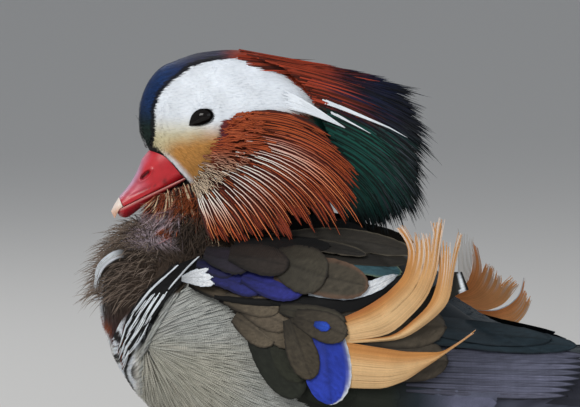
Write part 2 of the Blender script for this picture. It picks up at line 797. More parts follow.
def shuffled(rng, tint, spread=0.12, warm=0.03):
    """Each feather a little lighter or darker, warmer or cooler."""
    count = len(tint)
    light = jitter(rng, count, spread)[:, None, None, None]
    cast = np.stack([jitter(rng, count, warm), np.ones(count), jitter(rng, count, warm)], 1)
    return tint * light * cast[:, None, None, :]


print("crown stripe:", told(head_colour(np.array([0.0, -130.0, 222.0]))))

# %% [markdown]
# ## One skin under the feathers
# Body, neck, head, thighs and tail root are one skin, so no seam shows where they meet. Each is
# lofted a little inside its solid, and a voxel remesh joins them, followed by some smoothing.


# %% Lofts
def skin_loft(skin, slices, sides, lift):
    """Rings of a skin and a pole at each end, moved in or out by lift along the slice."""
    t = (1 - np.cos(np.pi * np.linspace(0, 1, slices + 1)[1:-1])) / 2
    y = skin["front"] + (skin["rear"] - skin["front"]) * t
    angle = np.linspace(0, 2 * np.pi, sides, endpoint=False)
    rings = skin_point(skin, y[:, None] + 0 * angle, angle[None, :] + 0 * y[:, None])
    rings = rings + outward(skin, rings) * lift
    ends = np.array([skin["front"] - lift, skin["rear"] + lift])
    poles = np.stack([0 * ends, ends, keyed(skin["table"], 4, ends)], 1)
    return rings, poles


def limb_rings(stops, sides, side=(1.0, 0.0, 0.0), grow=0.0):
    """Oval rings at right angles to a path: cosine times the half width along side, sine times
    the half depth across it."""
    centre = np.array([s[:3] for s in stops], float)
    wide, deep = (np.array([s[k] for s in stops], float) + grow for k in (3, 4))
    along = unit(np.gradient(centre, axis=0))
    across = unit(np.array(side) - along * (along @ np.array(side))[:, None])
    over = np.cross(along, across)
    a = np.linspace(0, 2 * np.pi, sides, endpoint=False)
    ring = across[:, None] * (np.cos(a)[:, None] * wide[:, None, None])
    ring = ring + over[:, None] * (np.sin(a)[:, None] * deep[:, None, None])
    return centre[:, None] + ring, centre[[0, -1]]


def closed_faces(rows, sides):
    """Triangles of a loft through rows of rings with a pole before and after them."""
    i, j = np.meshgrid(np.arange(rows - 1), np.arange(sides), indexing="ij")
    a, b = i * sides + j, i * sides + (j + 1) % sides
    quads = np.stack([a, a + sides, b + sides, b], -1).reshape(-1, 4)
    j = np.arange(sides)
    nxt, last = (j + 1) % sides, (rows - 1) * sides
    first = np.stack([j * 0 + rows * sides, j, nxt], 1)
    end = np.stack([j * 0 + rows * sides + 1, last + nxt, last + j], 1)
    tris = np.concatenate([quads[:, [0, 1, 2]], quads[:, [0, 2, 3]], first, end])
    return tris


def more_stops(stops, count):
    """Stops read more finely, each column a smooth curve over its number."""
    table = [[i, *stop] for i, stop in enumerate(stops)]
    t = np.linspace(0, len(stops) - 1, count)
    return np.stack([keyed(table, k + 1, t) for k in range(len(stops[0]))], 1).tolist()


print("triangles of a loft of 10 rings:", len(closed_faces(10, 24)))

# %% Limbs of the skin
# stops: x, y, z, half width, half depth
NECK = [
    (0, -114, 132, 38, 32), (0, -113, 146, 31, 33), (0, -109, 157, 26, 30), (0, -105, 168, 21, 24),
    (0, -102, 182, 18, 20),
]
STANCE = 22
THIGH = [
    (25, -8, 66, 11, 16), (24, -16, 52, 10.5, 14), (23, -22, 43, 7.5, 9.5),
    (STANCE, -26, 36.5, 4.4, 5.2),
]
TAIL_ROOT = [
    (0, 52, 83, 15, 14), (0, 72, 84, 16, 11), (0, 92, 85, 17, 7), (0, 110, 85.6, 16, 3),
]
SKIN_IN = -1.3  # the torso's skin lies this far inside its solid
VOXEL = 1.5


def mirror_stops(stops):
    """Stops of the limb on the other side."""
    return [(-x, *rest) for x, *rest in stops]


SKIN_TINT = 0.8  # the skin between the feathers is darker than they are
HEAD_REACH = 1.02  # points within this reach take the colours of the head


def make_skin():
    """Lofts joined by a voxel remesh, smoothed, and tinted with the coat's own colours."""
    parts = [skin_loft(TORSO, 60, 64, SKIN_IN), skin_loft(HEAD, 48, 48, -0.9)]
    parts.append(limb_rings(more_stops(NECK, 16), 40, grow=-1.0))
    for stops in (THIGH, mirror_stops(THIGH)):
        parts.append(limb_rings(more_stops(stops, 12), 20, grow=-1.0))
    parts.append(limb_rings(more_stops(TAIL_ROOT, 12), 24, grow=-1.0))
    points, faces, start = [], [], 0
    for rings, poles in parts:
        rows, sides = rings.shape[:2]
        faces.append(closed_faces(rows, sides) + start)
        points += [rings.reshape(-1, 3), poles]
        start += rows * sides + 2
    mesh = bpy.data.meshes.new("raw_skin")
    mesh.from_pydata((np.concatenate(points) * MM).tolist(), [], np.concatenate(faces).tolist())
    raw = bpy.data.objects.new("raw_skin", mesh)
    bpy.context.scene.collection.objects.link(raw)
    remesh = raw.modifiers.new("voxels", "REMESH")
    remesh.mode, remesh.voxel_size = "VOXEL", VOXEL * MM
    relax = raw.modifiers.new("relax", "SMOOTH")
    relax.factor, relax.iterations = 0.5, 4
    bpy.context.view_layer.update()
    seen = raw.evaluated_get(bpy.context.evaluated_depsgraph_get())
    joined = bpy.data.meshes.new_from_object(seen)
    points = np.zeros(len(joined.vertices) * 3, np.float32)
    joined.vertices.foreach_get("co", points)
    joined.calc_loop_triangles()
    tris = np.zeros(len(joined.loop_triangles) * 3, np.int32)
    joined.loop_triangles.foreach_get("vertices", tris)
    bpy.data.objects.remove(raw)
    for spent in (mesh, joined):
        bpy.data.meshes.remove(spent)
    points = points.reshape(-1, 3).astype(float) / MM
    head = reach(HEAD, points) < HEAD_REACH
    tint = np.where(head[:, None], head_colour(points), body_colour(points))
    faces = tris.reshape(-1, 3)
    skin = make_piece("skin", points, faces, plumage_skin, tint * SKIN_TINT)
    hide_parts("torso", "neck", "head", "thigh_left", "thigh_right")
    return skin


# %% Skin
def skin_finish():
    """Tint with fine down: two sizes of noise in colour, and the finer one in the bump."""
    f = Finish("skin_down")
    place = f.objects()
    fine = f.noise(place, 1400.0, 2.0)
    cloud = f.ramp(f.noise(place, 220.0), 0.3, 0.7, 0.88, 1.06)
    shade = f.math("MULTIPLY", f.ramp(fine, 0.3, 0.7, 0.82, 1.08), cloud)
    settings = {"Roughness": 0.85, "Specular IOR Level": 0.2}
    return f.done(f.shaded(f.tint(), shade), settings, fine, 0.4)


plumage_skin = skin_finish()
skin = make_skin()
print("finish of the skin:", plumage_skin.name)

# %% [markdown]
# ## The face
# Head feathers are the smallest on the bird: narrow tufts a few millimetres long that lie so flat
# that the white cheek looks like silk. They start at the bill and stream back past the eye, and
# on the cheek they turn down into the ruff. None grows on the bill or over the eye.

# %% Eye opening
EYE = {"y": -118.7, "z": 201.8, "dome": 1.6, "deep": 5.0}
BILL_BORDER = [
    (-124.5, 168), (-125.9, 177), (-129.5, 180.5), (-137.6, 189.2), (-142, 188), (-150, 185),
    (-152, 150), (-128, 160),
]
LIDS = {
    "wide": 3.8, "high": 2.8, "tilt": math.radians(14), "corner": math.radians(-146),
    "drawn": 2.7, "bell": 0.4,
}


def eye_opening(turn):
    """Outline of the lids in side view, an almond: a tilted ellipse whose radius is drawn out by a
    narrow bell towards the corner low in front."""
    t = turn - LIDS["tilt"]
    radius = LIDS["wide"] * LIDS["high"]
    radius = radius / np.hypot(LIDS["high"] * np.cos(t), LIDS["wide"] * np.sin(t))
    away = np.angle(np.exp(1j * (turn - LIDS["corner"])))
    radius = radius + LIDS["drawn"] * np.exp(-np.abs(away / LIDS["bell"]))
    return EYE["y"] + radius * np.cos(turn), EYE["z"] + radius * np.sin(turn)


def near_eye(p, margin):
    """Whether points lie over the opening of an eye, made larger by margin."""
    dy, dz = p[..., 1] - EYE["y"], p[..., 2] - EYE["z"]
    y, z = eye_opening(np.arctan2(dz, dy))
    edge = np.hypot(y - EYE["y"], z - EYE["z"]) + margin
    return (np.hypot(dy, dz) < edge) & (np.abs(p[..., 0]) > 9)


print("lids, rear corner:", told(eye_opening(0.0)))

# %% Head feathers
HEAD_TUFTS = 44000


def head_feathers():
    """Tufts over the head; the slope is 4 degrees, more down the cheek and behind the eye."""
    rng = default_rng(11)
    y, angle = scatter(HEAD, HEAD_TUFTS, 3)
    p = skin_point(HEAD, y, angle)
    keep = ~inside(BILL_BORDER, p[:, 1], p[:, 2]) & ~near_eye(p, 0.5) & (y < -68)
    keep &= ~((p[:, 2] < 176) & (y > -118))
    y, angle, p = y[keep], angle[keep], p[keep]
    z = p[:, 2]
    slope = 4 + 42 * smooth(199, 176, z) + 16 * smooth(-104, -84, y) * smooth(224, 212, z)
    slope = np.radians(slope + rng.normal(0, 5, len(y)))
    from_eye = np.hypot(y - EYE["y"], z - EYE["z"])
    front = np.maximum(smooth(-128, -142, y), smooth(6, 0, from_eye - 5))
    buff = smooth(196, 188, z) * smooth(-106, -116, y)
    length = (6.4 - 3.4 * front - 3.2 * buff) * jitter(rng, len(y), 0.25)
    width = (0.9 - 0.25 * front - 0.2 * buff) * jitter(rng, len(y), 0.25)
    grid, u, c = lay(
        HEAD, y, angle, slope, length, width, 0.14 * jitter(rng, len(y), 0.5),
        steps=2, sink=0.25, **TUFT,
    )
    tint = painted(head_colour, grid, u, 0.3, 0.05)
    dark = smooth(0.5, 0.1, tint.mean(axis=(1, 2, 3)))
    tint = tint * (1 + 0.35 * dark * rng.uniform(-1, 1, len(y)))[:, None, None, None]
    tint = shuffled(rng, tint, 0.025, 0.01)
    return [feathers(HEAD, grid, u, c, tint, width, length)]


silk = plumage("head_silk", roughness=0.55, sheen=0.04, barb=0.0, streak=0.03)
make_coat("head_coat", head_feathers(), silk)

# %% [markdown]
# ## The ruff
# The ruff's hackles are long and pointed, chestnut with a pale shaft that is white near the face
# and orange towards the tip. They leave the cheek in a fan: each lies on a ray between a root line
# and a tip line, both drawn in side view, and bends a little to the back. The shafts are strips of
# their own, a hair above the vanes, because they are what the eye sees first.

# %% Rays of the ruff
# side view, y and z
RUFF_ROOTS = [(-104, 203), (-109, 197), (-113, 190), (-117, 184), (-121, 178), (-122, 174)]
RUFF_TIPS = [(-68, 194), (-55, 177), (-57, 159), (-80, 152), (-104, 149.5), (-118, 152)]
RUFF = {"near": 19.6, "far": 30.5, "top": 197, "drop": 45}


def along_line(points, t):
    """Points at parts t of a line whose points are evenly numbered."""
    rows = np.array(points, float)
    place = np.clip(t, 0, 1) * (len(rows) - 1)
    k = np.minimum(place.astype(int), len(rows) - 2)
    f = (place - k)[..., None]
    return rows[k] * (1 - f) + rows[k + 1] * f


def fan(roots, tips, v, u, out, bulge):
    """Side view of ray v at part u: straight from root to tip, moved out across the ray, and
    bowed by 4 u (1 - u) bulge times its length towards the back."""
    root, tip = along_line(roots, v), along_line(tips, v)
    ray = tip - root
    length = np.linalg.norm(ray, axis=-1, keepdims=True)
    across = np.stack([-ray[..., 1], ray[..., 0]], -1) / length
    bow = (4 * u * (1 - u) * bulge)[..., None] * length + out[..., None]
    return root + ray * u[..., None] + across * bow


def ruff_out(y, z):
    """How far the ruff stands from the middle: on the cheek at its root, out from the neck at
    its tips."""
    cheek = head_side(y, np.maximum(z, 188)) + 0.6
    drop = np.clip((RUFF["top"] - z) / RUFF["drop"], 0, 1) ** 0.8
    return np.maximum(cheek, RUFF["near"]) * (1 - drop) + RUFF["far"] * drop


def ruff_grid(v, start, end, width, lift, shape, columns, wave):
    """Hackles on rays v from start to end of each ray, at a lift over the ruff. Middle rays bow
    most, and the lowest curl back at their tips."""
    u, c = stations_of(7, 1.2), np.linspace(-1, 1, columns + 1)
    part = (start[:, None] + (end - start)[:, None] * u)[:, :, None] + 0 * c
    vs = v[:, None, None] + 0 * part
    out = width[:, None, None] / 2 * shape(u)[None, :, None] * c
    ripple = np.sin(2.2 * np.pi * u + 9.0 * v[:, None])
    out = out + (wave[:, None] * ripple)[:, :, None]
    out = out + 3.5 * smooth(0.35, 0.9, vs) * np.clip(part, 0, 2) ** 3
    bulge = 0.1 + 0.06 * smooth(0.0, 0.4, vs) - 0.11 * smooth(0.5, 1.0, vs)
    place = fan(RUFF_ROOTS, RUFF_TIPS, vs, part, out, bulge)
    y, z = place[..., 0], place[..., 1]
    rise = lift[:, None, None] + 1.1 * part + 0.3 * (1 - c**2)
    return np.stack([ruff_out(y, z) + rise, y, z], -1), u, c


def hackle_shape(u):
    """Narrow at the root, widest before the middle, then a long point."""
    return (0.45 + 1.5 * u) * (1 - u) ** 0.75 * 1.1 + 0.03


def shaft_shape(u):
    """Thin where hackles crowd at their roots, then tapering to the tip."""
    return (0.5 + 0.5 * smooth(0.0, 0.35, u)) * (1 - 0.7 * u**2)


print("ruff stands out at its tips:", told(ruff_out(-60.0, 155.0)), "mm")

# %% Hackles
GOLDEN = 0.618034  # steps of this part of a turn spread rays evenly
HACKLE_LIGHT = rgb("983e20")
HACKLE_DARK = rgb("2e110b")
HACKLE_OUTER = rgb("7c2d16")
SHAFT_LOW = rgb("c25a2c")
HACKLE_KINDS = [
    # number, start from and to, length from and to, width of vane and shaft, lift
    ("base", 330, 0.1, 0.62, 0.34, 0.42, 2.7, 0.26, 0.2),
    ("fine", 120, 0.08, 0.5, 0.4, 0.55, 1.6, 0.4, 0.9),
    ("long", 50, 0.1, 0.36, 0.5, 0.75, 1.8, 0.42, 1.5),
    ("root", 420, -0.05, 0.2, 0.05, 0.09, 1.0, 0.26, 1.5),
]
SHAFT_COLOURS = {
    # near the face and further out
    "base": ("7c2f17", "9c3c1c"), "fine": ("c26a3e", "d2602c"), "long": ("fff8ee", "ee8c50"),
    "root": ("dcc4a8", "a85a34"),
}


def ruff_feathers(side, seed):
    """Vanes and shafts of one side's ruff: a base of outer hackles, long ones that show whole, and
    short ones where the ruff begins."""
    rng = default_rng(seed)
    batches = []
    for kind, count, first, last, short, long_, wide, shaft_wide, lift_ in HACKLE_KINDS:
        v = (np.arange(count) * GOLDEN + 0.37) % 1 * 1.04 - 0.02
        start = rng.uniform(first, last, count)
        end = start + rng.uniform(short, long_, count)
        end = np.minimum(end, 1.02 + rng.uniform(-0.08, 0.03, count))
        width = wide * jitter(rng, count, 0.2)
        lift = lift_ + rng.uniform(-0.25, 0.25, count)
        wave = rng.normal(0, 0.22, count)
        vane, u, c = ruff_grid(v, start, end, width, lift, hackle_shape, 2, wave)
        thin = shaft_wide * jitter(rng, count, 0.25)
        shaft, us, cs = ruff_grid(v, start, end, thin, lift + 0.35, shaft_shape, 1, wave)
        part = (start[:, None] + (end - start)[:, None] * u)[..., None, None]
        vs = v[:, None, None, None]
        low = smooth(0.2, 0.5, vs[..., 0]) if kind == "long" else smooth(0.4, 0.75, vs[..., 0])
        outer = smooth(0.25, 0.8, part[..., 0])
        first = mix(HACKLE_LIGHT + 0 * part, HACKLE_DARK, low)
        tint = mix(first, HACKLE_OUTER, smooth(0.08, 0.4, part[..., 0]))
        edge = 0.08 + 0.8 * smooth(0.5, 0.3, vs) * (kind == "root")
        tint = tint * (edge + (1.1 - edge) * (1 - np.abs(c))[:, None])
        near, far = (rgb(code) for code in SHAFT_COLOURS[kind])
        pale = mix(near + 0 * part, far, outer)
        pale = mix(SHAFT_LOW + 0 * part, pale, low)
        spread = 0.22 if kind == "root" else 0.55
        tint = shuffled(rng, tint + 0 * vane, spread, 0.05)
        pale = shuffled(rng, pale + 0 * shaft, 0.14)
        sheets = ((vane, tint, u, c, width), (shaft, pale, us, cs, thin))
        for grid, colour, uu, cc, across in sheets:
            grid, colour = to_side(side, grid, colour)
            batches.append(feathers(HEAD, grid, uu, cc, colour, across, 20))
    return batches


hackle = plumage("hackle", roughness=0.5, sheen=0.02, barb=0.25, period=0.5, streak=0.35)
for side, name in SIDES:
    ruff = make_coat("ruff_coat_" + name, ruff_feathers(side, 20 + side), hackle)
    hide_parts("ruff_" + name)

# %% [markdown]
# ## The crest
# The crest is hair-like: thousands of narrow plumes that leave the crown and nape and end in a
# loose brush. It is built as the ruff is, on rays in side view, with a part from side to side. Its
# colour goes from rufous on the crown through violet to dark green on the flank of the crest, and
# black at the tips, with bundles of long white plumes on each side.

# %% Rays and colours of the crest
CREST_ROOTS = [(-100, 226), (-85, 221), (-76, 212), (-71, 202), (-67, 193), (-66, 184), (-74, 172)]
CREST_TIPS = [
    (-37, 212.5), (-31, 201), (-29.5, 188), (-30.5, 172), (-34, 159.5), (-45, 156), (-58, 153),
]
CREST_VIOLET = rgb("2a1526")
CREST_SHEEN = rgb("4c535c")
CREST_BOW = 0.13
# ray, half width
CREST_WIDE = [(0, 10), (0.17, 15), (0.38, 17), (0.6, 16.5), (0.8, 15), (1, 14)]


def crest_wide(v, u):
    """Half width of the crest, drawn in towards the tips by the square root of 1 - (0.88 u)^2."""
    return keyed(CREST_WIDE, 1, v) * np.sqrt(1 - np.minimum(0.88 * u, 0.99) ** 2)


def crest_colour(p):
    """Rufous before a slanted border, then violet and blue above, green below and black where
    the plumes end."""
    y, z = p[..., 1], p[..., 2]
    green = mix(CREST_BLUE, CREST_GREEN, smooth(201, 193, z + 0.35 * (y + 50)))
    green = mix(green, CREST_BLACK, np.maximum(smooth(-56, -38, y), smooth(176, 160, z)) * 0.9)
    border = y + 0.65 * (z - 214) + 67.5
    violet = mix(CREST_VIOLET, green, smooth(2, 12, border))
    colour = mix(RUFOUS, violet, smooth(-5, 5, border))
    low = smooth(205, 203, z + 0.35 * (y + 70)) * smooth(-90, -80, y)
    return mix(colour, green, low)


def crest_grid(v, part, start, end, width, lift, wave):
    """Plumes on rays v, at part of the half width from the middle, as the fan lays them."""
    u, c = stations_of(5, 1.2), np.array([-1.0, 1.0])
    s = (start[:, None] + (end - start)[:, None] * u)[:, :, None] + 0 * c
    out = width[:, None, None] / 2 * tuft_shape(u)[None, :, None] * c
    out = out + wave[:, None, None] * (u**2)[None, :, None]
    vs = v[:, None, None] + 0 * s
    place = fan(CREST_ROOTS, CREST_TIPS, vs, s, out, CREST_BOW * np.clip(vs, 0, 1) ** 0.7)
    side = part[:, None, None] * crest_wide(np.clip(vs, 0, 1), np.clip(s, 0, 1))
    x = side + np.sign(part)[:, None, None] * lift[:, None, None] * np.abs(part)[:, None, None]
    return np.stack([x, place[..., 0], place[..., 1]], -1), u, c


print("half width of the crest:", told(crest_wide(0.4, 0.5)), "mm")

# %% Crest plumes
CREST_KINDS = [
    # plumes, kind, first start, spread of starts, farthest end
    (6200, "flank", 0.05, 0.42, 0.99),
    (1500, "ridge", 0.0, 0.4, 0.99),
    (1700, "fill", 0.25, 0.5, 0.95),
    (420, "stray", 0.35, 0.5, 1.03),
]


def crest_feathers():
    """Plumes on both flanks, over the ridge and behind, and a filling between them."""
    rng = default_rng(31)
    batches = []
    for count, kind, first, spread, far in CREST_KINDS:
        v = (np.arange(count) * GOLDEN) % 1
        sign = np.where(np.arange(count) % 2 == 0, 1.0, -1.0)
        part = sign * rng.uniform(0.93, 1.04, count)
        if kind == "stray":
            part = part * rng.uniform(0.2, 1)
        if kind == "ridge":
            v, part = 0.06 * v, rng.uniform(-1, 1, count)
        if kind == "fill":
            part = rng.uniform(-0.9, 0.9, count)
        start = first + spread * rng.uniform(0, 1, count) ** 1.3 - 0.08
        ragged = 0.035 * np.sin(61 * v) + 0.03 * np.sin(23 * v + 1)
        end = start + rng.uniform(0.45, 0.6, count)
        end = np.minimum(end, far + ragged + rng.normal(0, 0.04, count))
        width = rng.uniform(0.6, 1.1, count) * (0.6 if kind == "stray" else 1)
        lift = rng.uniform(0.2, 1.6, count) * (1.2 - start)
        wave = rng.normal(0, 0.7, count)
        grid, u, c = crest_grid(v, part, start, end, width, lift, wave)
        if kind == "ridge":
            grid[..., 2] += 0.7 - 0.03 * grid[..., 0] ** 2 * (1 - u)[None, :, None]
        flip = part < 0 if kind != "ridge" else np.zeros(count, bool)
        grid[flip] = grid[flip][:, :, ::-1]
        moved = rng.normal(0, 1, (count, 1, 1, 3)) * [0, 4.5, 1.0]
        tint = shuffled(rng, painted(crest_colour, grid + moved, u, 0.75, 0.1), 0.3, 0.1)
        tint = tint * np.where(rng.uniform(0, 1, count) < 0.38, 0.28, 1.25)[:, None, None, None]
        sheen = (rng.uniform(0, 1, count) < 0.2)[:, None, None]
        sheen = sheen * smooth(-56, -40, grid[..., 1]) * smooth(205, 185, grid[..., 2])
        tint = mix(tint, CREST_SHEEN, 0.8 * sheen)
        batches.append(feathers(HEAD, grid, u, c, tint, width, 30))
    return batches


plume = plumage("crest_plume", roughness=0.42, sheen=0.02, barb=0.2, streak=0.3, gloss=0.06)
crest = make_coat("crest_coat", crest_feathers(), plume)
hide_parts("crest")

# %% White plumes
WHITE_PLUMES = [
    # width of the bundle, and its line in y and z
    (1.5, [(-71.5, 208.2), (-63.0, 205.0), (-53.0, 200.8), (-44.5, 197.2), (-37.0, 193.0)]),
    (0.8, [(-68.0, 203.6), (-64.0, 201.6), (-60.0, 199.4), (-55.5, 197.0), (-51.7, 194.8)]),
    (7.5, [(-88.0, 209.0), (-82.0, 207.0), (-76.0, 204.6), (-69.0, 201.0), (-62.0, 197.2)]),
]


def white_plumes(side):
    """Bundles of white plumes along named lines, out from the flank of the crest."""
    rng = default_rng(37)
    batches = []
    for wide, path in WHITE_PLUMES:
        count = int(24 + 20 * wide)
        u = stations_of(8, 1.0)
        c = np.linspace(-1, 1, 2)
        offset = rng.uniform(-0.5, 0.5, count) * wide
        first = rng.uniform(0, 0.35, count)
        last = 1 - 0.7 * np.abs(offset) / wide * rng.uniform(0, 0.9, count)
        s = first[:, None] + (last - first)[:, None] * u
        place = along_line(path, s)[:, :, None] + np.zeros((1, 1, 2, 2))
        across = offset[:, None, None] * (1 - 0.96 * s[..., None])
        across = across + 0.24 * c * (1 - 0.85 * u)[:, None]
        place = place + across[..., None] * np.array([0.42, 0.9])
        y, z = place[..., 0], place[..., 1]
        wide_here = 17.6 * np.sqrt(1 - np.clip((y + 75) / 50, 0, 0.99) ** 2 * 0.75) + 1.7
        sunk = 2.2 * smooth(0.35, 0.0, s)[..., None] * (wide > 4)
        x = wide_here + rng.uniform(0, 0.7, count)[:, None, None] - sunk
        grid = np.stack([x, y, z], -1)
        grid, tint = to_side(side, grid, shuffled(rng, WHITE + 0 * grid, 0.05, 0.01))
        batches.append(feathers(HEAD, grid, u, c, tint, 0.6, 30))
    return batches


plumes = white_plumes(LEFT) + white_plumes(RIGHT)
make_coat("white_plumes", plumes, silk)

# %% [markdown]
# ## The eye
# A drake's eye is nearly black, and its lids close to an almond that is drawn out low in front.
# The ball is a low dome in that outline, so it fills the opening without a gap. The rim of the lids
# is bare and dark, a thin rounded band along the opening.

# %% Finishes of the face
LID_BLACK = rgb("030303")


def eye_finish():
    """Nearly black brown, faintly mottled, under a wet gloss."""
    f = Finish("wet_eye")
    fibre = f.noise(f.objects(), 2600.0, 4.0)
    colour = f.blend("MIX", fibre, (0.002, 0.002, 0.002), (0.009, 0.006, 0.005))
    return f.done(colour, {"Roughness": 0.04, "IOR": 1.3})


def lid_finish(name):
    """Nearly black bare skin, mottled and bumped by noise."""
    f = Finish(name)
    spots = f.noise(f.objects(), 1500.0)
    colour = f.blend("MIX", spots, LID_BLACK * 0.75, LID_BLACK * 1.2)
    return f.done(colour, {"Roughness": 0.6, "Specular IOR Level": 0.1}, spots, 0.3)


def grid_piece(name, grid, material, tint=None, wrap=False, maps=None):
    """A piece from one grid of points, rows times columns, closed round if wrap is set."""
    rows, columns = grid.shape[:2]
    faces = grid_faces(1, rows, columns)
    if wrap:
        i = np.arange(rows - 1) * columns
        last = i + columns - 1
        faces = np.concatenate([faces, np.stack([last, last + columns, i + columns, i], 1)])
    return make_piece(name, grid.reshape(-1, 3), faces, material, tint, maps)


print("eye opening is", round(2 * LIDS["wide"], 1), "mm wide without its corner")

# %% Eyes
LID_SHARES = np.array([1.09, 1.08, 1.04, 0.99, 0.95, 0.93])
LID_LIFTS = np.array([-0.4, 0.5, 0.75, 0.75, 0.5, -0.4])
EYE_LIFT = 0.2


def make_eye(side, name):
    """The ball is the almond drawn ever larger from its middle, on a dome: a height times one less
    the square of its share. Its last ring lies inside the head. The lids are the almond drawn
    six times, from their outer foot over a thin rounded rim to the ball."""
    lon = np.linspace(0, 2 * np.pi, 72, endpoint=False)
    out_y, out_z = eye_opening(lon)
    share = np.append(np.linspace(0.001, 1.04, 26), [1.0, 0.001])[:, None]
    y = EYE["y"] + (out_y - EYE["y"]) * share
    z = EYE["z"] + (out_z - EYE["z"]) * share
    x = head_side(EYE["y"], EYE["z"]) + EYE_LIFT + EYE["dome"] * (1 - share**2) + 0 * y
    x = 0.5 * x + 0.5 * (head_side(y, z) + EYE_LIFT + EYE["dome"] * (1 - share**2))
    x[-2:] -= EYE["deep"]
    ball = np.stack([side * x, y, z], -1)
    if side > 0:
        ball = ball[:, ::-1]
    eye = grid_piece("eyeball_" + name, ball, eye_finish(), wrap=True)
    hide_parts("eye_" + name)
    turn = np.linspace(0, 2 * np.pi, 97)
    y, z = eye_opening(turn)
    y = EYE["y"] + (y - EYE["y"])[:, None] * LID_SHARES
    z = EYE["z"] + (z - EYE["z"])[:, None] * LID_SHARES
    lids = np.stack([side * (head_side(y, z) + LID_LIFTS), y, z], -1)
    if side > 0:
        lids = lids[:, ::-1]
    return grid_piece("lids_" + name, lids, lid_finish("lid_skin_" + name))


for side, name in SIDES:
    make_eye(side, name)

# %% [markdown]
# ## The bill
# The bill is bare horn: deep red with a lilac bloom on the ridge, and a peach nail at the tip. It
# is a half round carried along the line of the mouth, boxy at the root where it flares into the
# feathers, and low and wide at the tip. The nostril is a real dent near the root.

# %% Shape of the bill
MOUTH_SLOPE = math.radians(26.2)
GAPE = np.array([0.0, -125.9, 177.0])
ALONG = np.array([0.0, -math.cos(MOUTH_SLOPE), -math.sin(MOUTH_SLOPE)])
OVER = np.array([0.0, -math.sin(MOUTH_SLOPE), math.cos(MOUTH_SLOPE)])
BILL_BACK_END = -6  # the root lies this far behind the gape, under the feathers
# along the mouth, height over it, depth under it, half width
BILL = [
    (-6, 14, 1.5, 10.2), (0, 16.4, 1.7, 10.3), (6, 16.2, 2.1, 9.7), (12.3, 14, 2.6, 8.2),
    (16, 10.8, 3, 7.5), (21.6, 6.9, 3.7, 7), (27.2, 4.4, 4.7, 6.8), (31, 2.7, 4.9, 5.9),
    (32.8, 1.4, 4.4, 4),
]
FULLNESS = [(4, 0.5), (18, 0.85)]
MOUTH_GAP = 0.15
LOWER_END = 31
BILL_COLUMNS = 90
NAIL = {"start": 27.6, "end": 33.2, "hook": 3.7, "taper": 0.35, "narrowing": 0.15}
NOSTRIL = {
    "distance": 14.2, "height": 7.6, "length": 2.6, "high": 1.0, "deep": 1.7,
    "lean": math.radians(-17),
}


def on_bill(x, distance, height):
    """Point at a distance along the mouth line from the gape and a height over it."""
    x, distance, height = np.broadcast_arrays(x, distance, height)
    place = GAPE + x[..., None] * [1.0, 0, 0] + distance[..., None] * ALONG
    return place + height[..., None] * OVER


def bill_half(d, wide, base, height):
    """Rings of a half round over a flat base: cosine times wide, sine to the power of the
    fullness times height; then back along the base."""
    a = np.linspace(0, math.pi, BILL_COLUMNS)
    power = keyed(FULLNESS, 1, d)[:, None]
    over = base[:, None] + np.sin(a)[None, :] ** power * (height - base)[:, None]
    arch = on_bill(np.cos(a) * wide[:, None], d[:, None] + 0 * a, over)
    back = np.linspace(-1, 1, BILL_COLUMNS // 2)[1:-1]
    floor = on_bill(back * wide[:, None], d[:, None] + 0 * back, base[:, None] + 0 * back)
    return np.concatenate([arch, floor], 1)


def capped(rings):
    """Rings with a last one drawn to its middle at each end."""
    first, last = rings[:1].mean(1, keepdims=True), rings[-1:].mean(1, keepdims=True)
    ends = [first + 0 * rings[:1], rings, last + 0 * rings[:1]]
    return np.concatenate(ends)


def on_nostril(along, over):
    """Distance from the nostril's middle, 1 on its oval edge."""
    lean = NOSTRIL["lean"]
    dy, dz = along - NOSTRIL["distance"], over - NOSTRIL["height"]
    a = (dy * math.cos(lean) + dz * math.sin(lean)) / NOSTRIL["length"]
    b = (dz * math.cos(lean) - dy * math.sin(lean)) / NOSTRIL["high"]
    return np.sqrt(a**2 + b**2)


print("mouth slopes down by", told(math.degrees(MOUTH_SLOPE), 1), "degrees")


# %% Horn of the bill
def bill_finish(name, code, bloom, roughness):
    """Horn with soft blotches and fine pits. The tint's red is the share of the pale bloom, its
    green the share of the dark in the nostril and the groove."""
    f = Finish(name)
    place = f.objects()
    shares = f.add("ShaderNodeSeparateColor")
    f.put(f.tint(), shares.inputs[0])
    colour = f.blend("MIX", shares.outputs[0], rgb(code), rgb(bloom))
    colour = f.blend("MIX", shares.outputs[1], colour, rgb(code) * 0.12)
    colour = f.shaded(colour, f.ramp(f.noise(place, 260.0), 0.3, 0.7, 0.84, 1.1))
    settings = {
        "Roughness": roughness, "Coat Weight": 0.25, "Coat Roughness": 0.25,
        "Subsurface Weight": 0.08,
        "Subsurface Radius": (0.004, 0.001, 0.001),
    }
    return f.done(colour, settings, f.noise(place, 2600.0, 2.0), 0.25)


